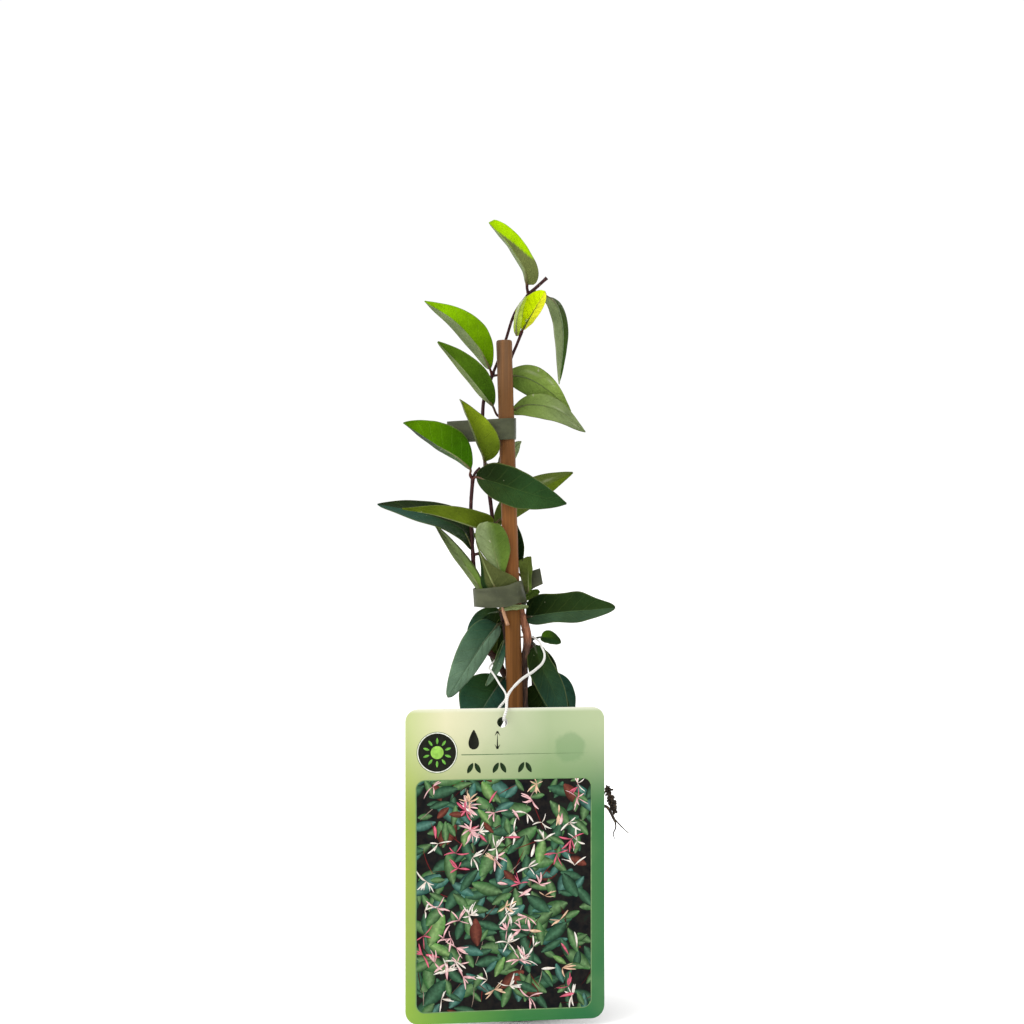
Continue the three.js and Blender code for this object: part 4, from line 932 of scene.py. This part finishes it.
grow("trapped_twig", "twig_trapped", [
    ([(-1, -5.5, 191.6), (-2.6, -5.5, 196), (-3.9, -5.6, 201), (-4, -5.7, 206)], 0.85)], [
    leaf([(-3.9, -5.7, 204)], [(-3.2, -4.9, 209.2), (-4.7, -5, 216.6), (-7.2, -6.2, 226.1),
         (-9.7, -9, 235.1), (-10.9, -13, 243.3)], (9, 0.6, 0), (-7.5, -0.6, 0),
         "silver pale sage sage", peak=0.68, full=0.27, heel=0.9, under=True, melt=0.4),
    # The dark band along its left margin is a painted shadow of its edge.
    leaf([(-3.8, -5.7, 201)], [(-6.5, -5.2, 208.7), (-9.7, -6.6, 215.2), (-12.9, -8.6, 222.7),
         (-15.9, -9.6, 230.6), (-17.5, -10.2, 237.6)], (11.6, 0.3, 3.9), (-6, 1.6, -1),
         "drab drab drab drab", right_tip=(7, -0.5, -1.5), peak=0.12, full=2.5, heel=0.6, curl=0,
         under=True, trim=("left", "deep", 0.5, 0, 1)),
    leaf([(-3, -5.5, 198.6)], [(-5.5, -5.5, 199.7), (1.5, -5.2, 200.5), (9, -4, 200.7)],
         (0, 0, -1.3), (0, 0, 1.3), "pale silver pale silver", full=0.3, curl=0, under=True)],
         bark=(190, 146, 112))


# ---- The low left plant -------------------------------------------------------------------------
# One of two more rooted stems that stand behind the label. Its old leaves are dark blue green and
# hang down over the label's top edge, and a dead reddish twig sticks out among them.

grow("low_left_plant", "plant_low_left", [
    ([(0.6, 8.2, 66), (0.6, 8.2, 100), (0, 8.2, 140), (-1, 7.9, 166), (-1.6, 8.4, 180),
      (-3, 8.6, 192), (-4.2, 8.6, 197.5)], 1.25),
    ([(-0.8, 8, 163), (-3.5, 7.8, 167.6), (-6.5, 7.6, 173.6), (-12.6, 6.4, 179.4)], 1.7)], [
    # Its grey blue green is partly a painted reflection of the pale room on its glossy top.
    leaf([(-3, 8.6, 192)], [(-6, 5, 191.6), (-13, -1.5, 183.1), (-20.9, -7.8, 171.3),
         (-30.5, -13, 156.2)], (4.5, 1.6, -3.2), (-9, -1.6, 7.4), "jade mist mist mist",
         left_tip=(-5.8, -1.4, 3.8), full=0.5, heel=0.34),
    leaf([(-4, 8.6, 197)], [(-4.8, 8.9, 198), (-11.6, 10.7, 196.2), (-18.1, 13.2, 189.8),
         (-22.2, 16, 181.6)], (-1.2, 1.4, 2.8), (3.6, 0.5, -6), "night teal deep teal",
         right_tip=(-2.8, 1.4, 4.4), heel=0.3),
    leaf([(-3.6, 8.8, 195)], [(-4.2, 9.6, 195), (-5.4, 9.8, 187), (-6.6, 9.6, 177),
         (-5.6, 9.8, 168)], (-4, 0.5, -1), (4.6, 0, 1), "deep night drab bottle", peak=0.5,
         full=0.5),
    leaf([(-1.8, 8.8, 182), (-3, 6.2, 183)], [(-2.8, 3.8, 183.3), (-4.9, 2.6, 177.4),
         (-7.4, 0.8, 170.4), (-12, 0, 161)], (-1.3, 0, 0.7), (2.5, -0.2, -1.6),
         "teal slate deep slate", full=0.6, heel=0.4),
    leaf([(-1, 7.8, 166)], [(-3.4, 6.6, 164.6), (-8.4, 3.7, 157.5), (-14, -0.5, 148.3),
         (-18.9, -6, 132.7)], (10, 1.8, -3.4), (-11.6, -1.5, 10), "forest teal teal teal"),
    leaf([(-0.4, 8.8, 150)], [(-3, 11, 148), (-9, 15, 143), (-17, 19, 133), (-24, 22, 119)],
         (6, 5, -4), (-6.6, -3, 5), "deep deep deep deep")], bark=OLD_BARK, stalk=(72, 66, 42),
         nerve=(76, 100, 72))


# ---- The low right plant ------------------------------------------------------------------------
# The other rooted stem, on the right of the cane. Its longest leaf reaches out to the right, glossy
# and wavy at its margin, and the others hang down behind the label.

grow("low_right_plant", "plant_low_right", [
    ([(13.4, 7, 66), (13.4, 7, 100), (12.8, 7.4, 140), (11.8, 8.2, 163), (11.2, 8.8, 176),
      (10.3, 8.8, 183), (9, 8.6, 190), (7.6, 8.4, 195)], 1.05)], [
    # The blue green of its lower half is partly a painted reflection of the pale room on its gloss.
    leaf([(7.8, 8.4, 194.6)], [(7.8, 8.4, 195), (17, 4.2, 196.5), (28, -1.2, 198.1),
         (40.8, -7.5, 199.3), (52, -12, 200.7)], (0, -2.2, -3.8), (0, 2.4, 10.2),
         "night deep pine pine", right_tip=(0, -2.6, -7.6), peak=0.36, full=0.62, heel=0.25,
         wave=0.8, waves=2.5, scallop=0.09, veins=0.75),
    leaf([(8.4, 8.6, 192.6), (9.4, 11.4, 197)], [(6.1, 12.4, 204.3), (10.1, 12.4, 206.1),
         (14.9, 12, 207.9)], (0.3, -0.3, -2.2), (-0.3, 0.3, 2.2), "sage sage celery sage",
         full=0.35),
    leaf([(10.3, 8.8, 183.6), (14, 7.4, 184.8)], [(15.6, 4.4, 185.2), (20, 2.4, 184.8),
         (25.4, 2, 182.8)], (-0.6, -2.5, -2.6), (0.3, 0.6, 3.7), "clover deep deep forest",
         full=0.5, thick=0.55),
    leaf([(10.4, 8.8, 182), (12.3, 6.4, 181.6)], [(12.4, 4.8, 180.6), (15.6, 1.2, 171.1),
         (21.3, -3.1, 159.3), (29.4, -9, 138.7)], (-7, -1.6, -2.6), (5.4, -1.6, 3.4),
         "deep teal night teal", right_tip=(-5.6, -1.6, -3.8), heel=0.4),
    leaf([(10.6, 9.2, 181)], [(14.6, 10.4, 180), (17.8, 12.4, 171.9), (19.7, 14.3, 161.7),
         (20.7, 17, 147.4)], (-4.4, 0, -1), (5, 0.6, 1.4), "night teal deep teal"),
    leaf([(11.8, 8.6, 165)], [(17, 9.6, 168), (24.6, 9.9, 162.5), (29.1, 10.9, 153.6),
         (31.2, 14, 139.2)], (-4.6, -1, -4), (4, 1, 2.4), "teal teal teal deep"),
    leaf([(11.8, 8, 163)], [(12.6, 5.6, 161.4), (15, 4.6, 156), (19, 3.6, 147), (22, 3, 132)],
         (-8.4, 3.2, -1.5), (5, -0.5, 2), "teal deep night night", heel=0.5),
    leaf([(12.4, 8.2, 150)], [(15, 11, 149), (21, 15, 145), (29, 18, 136), (36, 20, 124)],
         (-5, 4, -5), (5, -3, 6), "deep deep deep deep")], bark=OLD_BARK, stalk=(56, 58, 38),
         nerve=(72, 92, 60))


# ---- The two ties -------------------------------------------------------------------------------
# Loops of soft grey green plastic tying tape, 11 mm wide. The upper one holds the stems to the cane
# loosely; the lower one is drawn tight round everything, and its notched tail sticks out behind.

TAPE_THICK, TAPE_EDGE, TAPE_SLACK = 0.36, 0.09, 0.14
UPPER_TIE, UPPER_SLOPE, LOWER_TIE = (284.2, 294.8), 0.05, (200.6, 212)  # their edges' heights
film = Finish("tying_tape", 0.38, 0.2)
crease, scuff = film.grain(90, 3, 0.5, (1, 1, 2.5)), film.grain(700, 4, 0.6)
body = film.blend(film.band(crease, 0.35, 0.7), (72, 76, 54), (90, 94, 68))
film.colour(film.blend(film.band(scuff, 0.55, 0.8, 0, 0.35), body, (108, 114, 92)))
film.set("Roughness", film.band(scuff, 0.3, 0.7, 0.32, 0.5))
film.bump(film.plus(crease, film.times(scuff, 0.25)), 0.0004)
film.let_through(0.15, (96, 108, 76))


def add_tape(bm, low, high, closed, steps):
    """A band of tape between two lines, a little slack in its middle."""
    rows = [flow(line, steps + 1, closed) for line in (low, high)]
    for corner in bmesh.ops.create_grid(bm, x_segments=steps, y_segments=6, size=1)["verts"]:
        step, share = round((corner.co.x + 1) / 2 * steps), (corner.co.y + 1) / 2
        foot, head = rows[0][step], rows[1][step]
        around = step % steps if closed else step
        before = rows[0][around - 1 if around else (steps - 1 if closed else 0)]
        out = (rows[0][min(around + 1, steps)] - before).cross(head - foot).normalized()
        point = foot.lerp(head, share)
        corner.co = (point + out * (TAPE_SLACK * noise.noise(point * 0.35))) * MM
    bmesh.ops.remove_doubles(bm, verts=bm.verts, dist=1e-5)


def lifted(points, height):
    return [(x, y, height + z) for x, y, z in points]


def finish_tape(name, node, bm):
    bmesh.ops.recalc_face_normals(bm, faces=bm.faces)
    tape = new_piece(name, bm, film)
    thick = tape.modifiers.new("thickness", "SOLIDIFY")
    thick.thickness, thick.offset = TAPE_THICK * MM, 0
    soft = tape.modifiers.new("edges", "BEVEL")
    soft.width, soft.segments, soft.limit_method = TAPE_EDGE * MM, 2, "ANGLE"
    belongs(tape, node)


loose = [(x, y, UPPER_SLOPE * x) for x, y in (
    (2.7, 0.4), (2, -3), (-1.6, -4.8), (-6, -4.9), (-13, -4.4), (-22, -3.8), (-28.6, -2.6),
    (-31.4, 0.4), (-28, 3.8), (-20, 5.8), (-11, 7.4), (-4, 8.8), (0.6, 7.4), (2.8, 4))]
bm = bmesh.new()
add_tape(bm, *[lifted(loose, height) for height in UPPER_TIE], True, 130)
finish_tape("upper_tie", "tie_upper", bm)

tight_low = [(8.6, 4.4, 1.6), (7.6, -1, 2.3), (4.2, -6.1, 2), (-1.6, -7.5, 0.3), (-8, -7.9, -0.2),
             (-13, -6.6, -0.2), (-16.4, -3.8, 0), (-17.8, 0.4, 0), (-16.2, 5.4, 0), (-11, 8.8, 0),
             (-4, 10.9, 0), (2.4, 10.7, 0), (7.2, 8.6, 0.8)]
tight_high = [(6, 4, 1.2), (5.9, -1.6, 1.8), (4.5, -6.1, 1.7), (-1.6, -7.5, -0.5), (-8, -7.9, -1.4),
              (-13, -6.6, -2), (-16.8, -3.8, -2.4), (-18.4, 0.4, -2.4), (-16.4, 5.4, -1.6),
              (-11, 8.8, -0.8), (-4, 10.9, 0), (1.6, 10.5, 0), (4.8, 8.2, 0.6)]
bm = bmesh.new()
add_tape(bm, lifted(tight_low, LOWER_TIE[0]), lifted(tight_high, LOWER_TIE[1]), True, 110)
add_tape(bm, [(1, 10.7, 201.4), (6, 10.4, 204.6), (11.4, 9.4, 209.2), (16.6, 8.2, 211.8)],
         [(1, 10.7, 211), (5, 10.4, 213), (10, 9.4, 217.8), (15.1, 8.2, 219.8)], False, 26)
finish_tape("lower_tie", "tie_lower", bm)


# ---- The picture label --------------------------------------------------------------------------
# A printed plastic card that hangs by the string and leans on the pot's rim, white behind. Its
# front fades from yellow green to deep green round a picture of leaves and blossom.

PICTURE = (-43.1, 41.7, 5.8, 116.2)  # left, right, foot and top of the picture on the card
PICTURE_CORNER, FRAME_LINE, FOOT_CORNER, TOP_CORNER, CARD_EDGE = 4, 0.5, 6.5, 6, 0.12
INK = 0.0006  # each printed shape lies this much over the one before
LEAVES, TWIG_AFTER, BLOSSOMS, BUD_AFTER = 350, 5, 92, 4
BUSH = (0.825, 0.872, 0)  # the middle of a printed shrub, as shares of the card

card_place = at(*on_card(0, CARD_FOOT)) @ Matrix.Rotation(CARD_TURN, 4, "Z") \
    @ Matrix.Diagonal((MM, MM, MM, 1))


def rounded(left, right, low, high, foot_corner, top_corner, out=0.0):
    """A flat rounded rectangle, upright and facing the front, in millimetres."""
    bm = bmesh.new()
    plate = bmesh.ops.create_grid(bm, x_segments=1, y_segments=1, size=0.5)["verts"]
    for corner in plate:
        corner.co = Vector((left + (corner.co.x + 0.5) * (right - left), 0,
                            low + (corner.co.y + 0.5) * (high - low)))
    for top, radius in ((False, foot_corner), (True, top_corner)):
        ends = [c for c in plate if c.is_valid and (c.co.z > (low + high) / 2) == top]
        bmesh.ops.bevel(bm, geom=ends, offset=radius, segments=8, profile=0.5, affect="VERTICES",
                        material=-1, offset_type="OFFSET")
    for corner in bm.verts:
        corner.co.y = -out
    return bm


def printed(name, bm, finish):
    """A piece printed on the card, seen from the front."""
    for face in bm.faces:
        face.normal_update()
    bmesh.ops.reverse_faces(bm, faces=[face for face in bm.faces if face.normal.y > 0])
    bmesh.ops.transform(bm, matrix=card_place, verts=bm.verts)
    belongs(new_piece(name, bm, finish))


bm = rounded(-CARD_WIDTH / 2, CARD_WIDTH / 2, 0, CARD_HEIGHT, FOOT_CORNER, TOP_CORNER)
border = [edge for edge in bm.edges if edge.is_boundary]
bmesh.ops.delete(bm, geom=bm.faces[:], context="FACES_ONLY")
eye = bmesh.ops.create_circle(bm, segments=40, radius=HOLE[2],
                              matrix=Matrix.Translation((HOLE[0], 0, HOLE[1]))
                              @ Matrix.Rotation(math.pi / 2, 4, "X"))["verts"]
border += list({edge for corner in eye for edge in corner.link_edges})
bmesh.ops.triangle_fill(bm, edges=border, use_beauty=True)
bmesh.ops.recalc_face_normals(bm, faces=bm.faces)
if bm.faces[0].normal.y > 0:
    bmesh.ops.reverse_faces(bm, faces=bm.faces[:])
card_uv = bm.loops.layers.uv.new("card")
for face in bm.faces:
    for loop in face.loops:
        loop[card_uv].uv = (loop.vert.co.x / CARD_WIDTH + 0.5, loop.vert.co.z / CARD_HEIGHT)
thick = bmesh.ops.extrude_face_region(bm, geom=bm.faces[:])["geom"]
bmesh.ops.translate(bm, verts=[item for item in thick if isinstance(item, bmesh.types.BMVert)],
                    vec=(0, -CARD_THICK, 0))
for face in bm.faces:
    face.material_index = 0 if face.normal.y < -0.9 and face.calc_center_median().y < -0.1 else 1
bmesh.ops.recalc_face_normals(bm, faces=bm.faces)
bmesh.ops.transform(bm, matrix=card_place, verts=bm.verts)

front = Finish("printed_front", 0.34, 0.3)
spot = front.node("UVMap", uv_map="card")
sideways, up = front.axis("X", spot), front.axis("Y", spot)
top_row = front.steps(sideways, (0.0, 196, 208, 140), (0.2, 228, 224, 184), (0.5, 198, 205, 168),
                      (0.72, 172, 189, 144), (1.0, 184, 198, 154))
middle_row = front.steps(sideways, (0.0, 160, 179, 64), (0.12, 142, 164, 84), (0.5, 124, 150, 88),
                         (0.9, 66, 122, 62), (1.0, 44, 112, 56))
foot_row = front.steps(sideways, (0.0, 144, 180, 60), (0.25, 96, 156, 56), (0.55, 44, 122, 52),
                       (1.0, 8, 104, 54))
ink = front.blend(front.band(up, 0.64, 0.98), middle_row, top_row)
ink = front.blend(front.band(up, 0.0, 0.3, 1, 0), ink, foot_row)
ink = front.blend(front.band(front.grain(26, 2), 0.5, 0.75, 0, 0.25), ink, (120, 160, 96))
from_bush = front.node("VectorMath", (0, spot), (1, BUSH), operation="SUBTRACT")
from_bush = front.node("VectorMath", (0, from_bush), (1, (CARD_WIDTH, CARD_HEIGHT, 1)),
                       operation="MULTIPLY")
bush = front.plus(front.node("VectorMath", (0, from_bush), operation="LENGTH", out="Value"),
                  front.times(front.grain(260, 2), 3.0))
ink = front.blend(front.band(bush, 7.5, 10, 0.4, 0), ink, (104, 146, 92))
front.colour(front.blend(front.band(up, 0.985, 1.0, 0, 0.7), ink, (240, 240, 220)))
front.bump(front.grain(1600, 3), 0.00002)
back = Finish("card_back", 0.45)
back.colour(back.steps(back.grain(60, 4), (0.3, 228, 227, 220), (0.7, 240, 239, 234)))
back.bump(back.grain(1500, 3), 0.00003)
card = new_piece("label_card", bm, front, back)
card.data.set_sharp_from_angle(angle=math.radians(40))
edge = card.modifiers.new("edges", "BEVEL")
edge.width, edge.segments, edge.limit_method = CARD_EDGE * MM, 2, "ANGLE"
belongs(card, "label")

# The picture's light frame line and its dark ground.
left, right, low, high = PICTURE
line_ink = Finish("frame_line", 0.34)
line_ink.colour(line_ink.steps(line_ink.grain(300, 3), (0.3, 84, 128, 70), (0.7, 122, 158, 96)))
around = PICTURE_CORNER + FRAME_LINE
printed("picture_frame_line", rounded(
    left - FRAME_LINE, right + FRAME_LINE, low - FRAME_LINE, high + FRAME_LINE, around, around,
    CARD_THICK + 0.02), line_ink)
dark = Finish("picture_ground", 0.34, 0.06)
dark.colour(dark.steps(dark.grain(240, 5, 0.6), (0.35, 8, 12, 16), (0.55, 30, 26, 24),
                       (0.75, 20, 40, 30)))
printed("picture_ground", rounded(
    *PICTURE, PICTURE_CORNER, PICTURE_CORNER, CARD_THICK + 0.04), dark)


def lay_flat(tones, spot, turn, length, width, out, lobes=2.0, bend=0.0):
    """A flat printed shape, pointed at both ends, so much before the card: a leaf or a petal. Its
    tones are its foot's, its tip's and its middle line's."""
    inks = [Vector(paint(*tone)) for tone in tones]
    for corner in bmesh.ops.create_grid(bm, x_segments=2, y_segments=6, size=1)["verts"]:
        side, share = corner.co.x, (corner.co.y + 1) / 2
        breadth = width / 2 * math.sin(math.pi * min(1, share * 0.92 + 0.04) ** (2 / lobes)) ** 0.8
        x, z = side * breadth + bend * share * share * length, share * length
        corner.co = Vector((spot[0] + x * math.cos(turn) - z * math.sin(turn), -CARD_THICK - out,
                            spot[1] + x * math.sin(turn) + z * math.cos(turn)))
        tone = inks[0].lerp(inks[1], share) * (1 + 0.3 * side)
        corner[layer] = tone.lerp(inks[2], 0.7) if side == 0 else tone


dice = random.Random(19)
bm = bmesh.new()
layer = bm.verts.layers.float_color.new("ink")
leaf_inks = [((8, 28, 20), (30, 68, 46), (84, 128, 96)),
             ((14, 40, 22), (50, 98, 48), (124, 160, 108)),
             ((8, 36, 36), (36, 86, 74), (104, 152, 136)),
             ((30, 66, 28), (84, 136, 62), (156, 190, 122)),
             ((44, 18, 16), (92, 40, 34), (134, 76, 60))]
twig_inks = (60, 14, 16), (104, 30, 30), (96, 74, 60), (150, 132, 118)
petal_inks = [((196, 170, 140), (240, 232, 220), (255, 252, 248)),
              ((196, 96, 112), (240, 190, 190), (250, 224, 220)),
              ((140, 20, 46), (206, 66, 96), (236, 140, 160)),
              ((190, 120, 90), (226, 186, 150), (240, 220, 190))]
out = 0.06
for index in range(LEAVES):  # the palest leaves lie on top
    spot = (dice.uniform(left - 2, right + 2), dice.uniform(low - 2, high + 2))
    inks = dice.choices(leaf_inks, (6, 6, 2, 2 if index > 200 else 0, 1))[0]
    size = dice.uniform(6.5, 16.5 if index % 3 else 10)
    lay_flat(inks, spot, dice.uniform(0, 6.3), size, size * dice.uniform(0.34, 0.5), out,
             bend=dice.uniform(-0.14, 0.14))
    out += INK
    if index % TWIG_AFTER == TWIG_AFTER - 1:
        lay_flat((dice.choice(twig_inks),) * 3, spot, dice.uniform(0, 6.3), dice.uniform(6, 17),
                 0.42, out, bend=dice.uniform(-0.25, 0.25))
for index in range(BLOSSOMS):
    spot = (dice.uniform(left + 2, right - 2), dice.uniform(low + 2, high - 2))
    inks, aim = dice.choices(petal_inks, (5, 4, 3, 2))[0], dice.uniform(0, 6.3)
    if index % BUD_AFTER == 0:  # a long closed bud
        lay_flat(inks, spot, aim, dice.uniform(5, 9), dice.uniform(1.1, 1.7), out, 1.5,
                 dice.uniform(-0.2, 0.2))
        out += INK
        continue
    for petal in range(dice.choice((4, 5, 6, 8))):
        size, turn = dice.uniform(3, 6.8), aim + dice.uniform(-1.2, 1.2)
        lay_flat(inks, spot, turn + (math.pi if petal % 4 == 3 else 0), size,
                 dice.uniform(0.4, 1.1), out, 1.6, dice.uniform(-0.45, 0.45))
        out += INK
cuts = [((1, 0), right), ((-1, 0), -left), ((0, 1), high), ((0, -1), -low)]
for way_x, way_z in ((-1, -1), (-1, 1), (1, -1), (1, 1)):  # the rounded corners
    x = right - PICTURE_CORNER if way_x > 0 else left + PICTURE_CORNER
    z = high - PICTURE_CORNER if way_z > 0 else low + PICTURE_CORNER
    for tilt in (22.5, 45, 67.5):
        way = way_x * math.cos(math.radians(tilt)), way_z * math.sin(math.radians(tilt))
        cuts.append((way, x * way[0] + z * way[1] + PICTURE_CORNER))
for (x, z), reach in cuts:
    bmesh.ops.bisect_plane(bm, geom=bm.verts[:] + bm.edges[:] + bm.faces[:], dist=1e-4,
                           plane_co=(x * reach, 0, z * reach), plane_no=(x, 0, z), clear_outer=True)
print_ink = Finish("picture_ink", 0.34, 0.06)
print_ink.colour(print_ink.mottle(print_ink.node("Attribute", attribute_name="ink", out="Color"),
                                  print_ink.grain(600, 4), (0.72,) * 3, (1.25,) * 3))
printed("picture_of_blossom", bm, print_ink)

# Above it: a dark disc with a sun, a thin rule, a water drop, a height arrow and small leaves.
DARK_INK, SUN, RAYS, DROP, ARROW, RULE_HEIGHT = (30, 32, 24), (-33.2, 129.7), 10, -15.5, -4, 128.4
upright = Matrix.Rotation(math.pi / 2, 4, "X")
bm = bmesh.new()
layer = bm.verts.layers.float_color.new("ink")


def lay_disc(spot, radius, tone, out):
    """A flat round printed spot, so much before the card."""
    place = Matrix.Translation((spot[0], -CARD_THICK - out, spot[1])) @ upright
    for corner in bmesh.ops.create_circle(bm, cap_ends=True, segments=56, radius=radius,
                                          matrix=place)["verts"]:
        corner[layer] = paint(*tone)


for spot, radius, tone, out in ((SUN, 9.9, (70, 96, 52), 0.02), (SUN, 9.65, (236, 238, 222), 0.03),
                                (SUN, 9.15, DARK_INK, 0.04), (SUN, 3.1, (150, 200, 86), 0.05)):
    lay_disc(spot, radius, tone, out)
for ray in range(RAYS):
    turn = FULL_TURN * ray / RAYS
    foot = (SUN[0] - 4 * math.sin(turn), SUN[1] + 4 * math.cos(turn))
    lay_flat(((110, 176, 70),) * 3, foot, turn, 3, 1.2, 0.05)
lay_flat(((96, 124, 84),) * 3, (-21.5, RULE_HEIGHT), -math.pi / 2, 62, 0.42, 0.05, 9)
lay_disc((DROP, 133.4), 2.5, DARK_INK, 0.05)
lay_flat((DARK_INK,) * 3, (DROP, 132), 0, 8.2, 5.2, 0.055, 4)
lay_flat((DARK_INK,) * 3, (ARROW, 131), 0, 8.4, 0.8, 0.05, 9)
for height, turn in ((139.4, 2.6), (139.4, -2.6), (131, 0.55), (131, -0.55)):
    lay_flat((DARK_INK,) * 3, (ARROW, height), turn, 2.6, 0.8, 0.055, 9)
for index in range(6):
    lay_flat(((30, 50, 26),) * 3, (-18.5 + 6.2 * index, 119.6), 0.5 if index % 2 else -0.5, 5.4,
             2.3, 0.05)
printed("label_marks", bm, print_ink)


# ---- The root over the rim ----------------------------------------------------------------------
# A strand of old roots and dried soil that grew over the rim and hangs down outside it, crumbly
# above, with two thin root hairs below.

earth = Finish("dry_root", 0.93)
clots = earth.grain(700, 6, 0.7)
earth.colour(earth.blend(earth.band(earth.grain(1300, 3), 0.62, 0.72), earth.steps(
    clots, (0.3, 24, 19, 15), (0.55, 54, 42, 32), (0.75, 96, 78, 56)), (176, 140, 76)))
earth.bump(clots, 0.0004)
bm = bmesh.new()
for path, start, end in (  # each with its radius at either end
        ([(37.6, -6, 93.4), (40, -6, 97), (42.4, -6, 101.2), (45, -6, 101.5), (48, -6, 101.4),
          (52.4, -6, 94)], 0.9, 0.7),
        ([(45, -6, 102), (46, -5.6, 106.4), (48.6, -5.4, 110.6)], 0.7, 0.35),
        ([(52.2, -6, 95), (52.6, -6, 91), (51.4, -6, 88), (52, -6, 85.4)], 0.45, 0.2),
        ([(52.2, -6, 95), (54.4, -5.8, 92.6), (57, -5.6, 90), (59, -5.6, 88.2)], 0.4, 0.2)):
    draw_along(bm, flow(path, 26), [
        (start + (end - start) * step / 25) * (1 + 0.2 * noise.noise(point * 2.1))
        for step, point in enumerate(flow(path, 26))], 9)
dice = random.Random(3)
for x, z, size in ((48.4, 110.6, 1.3), (49.2, 107.8, 1.9), (50.2, 105, 2.2), (51.3, 102.2, 2.1),
                   (52, 99.2, 1.6)):
    for _ in range(26):  # crumbs that cling to it
        reach = Vector((dice.gauss(0, 0.34), dice.gauss(0, 0.32), dice.gauss(0, 0.5)))
        place = at(*(Vector((x, -6, z)) + reach * size))
        add_lump(bm, place, dice.uniform(0.3, 0.62) * size * 0.75, 0.35, 1500)
belongs(new_piece("root_strand", bm, earth), "root_over_rim")
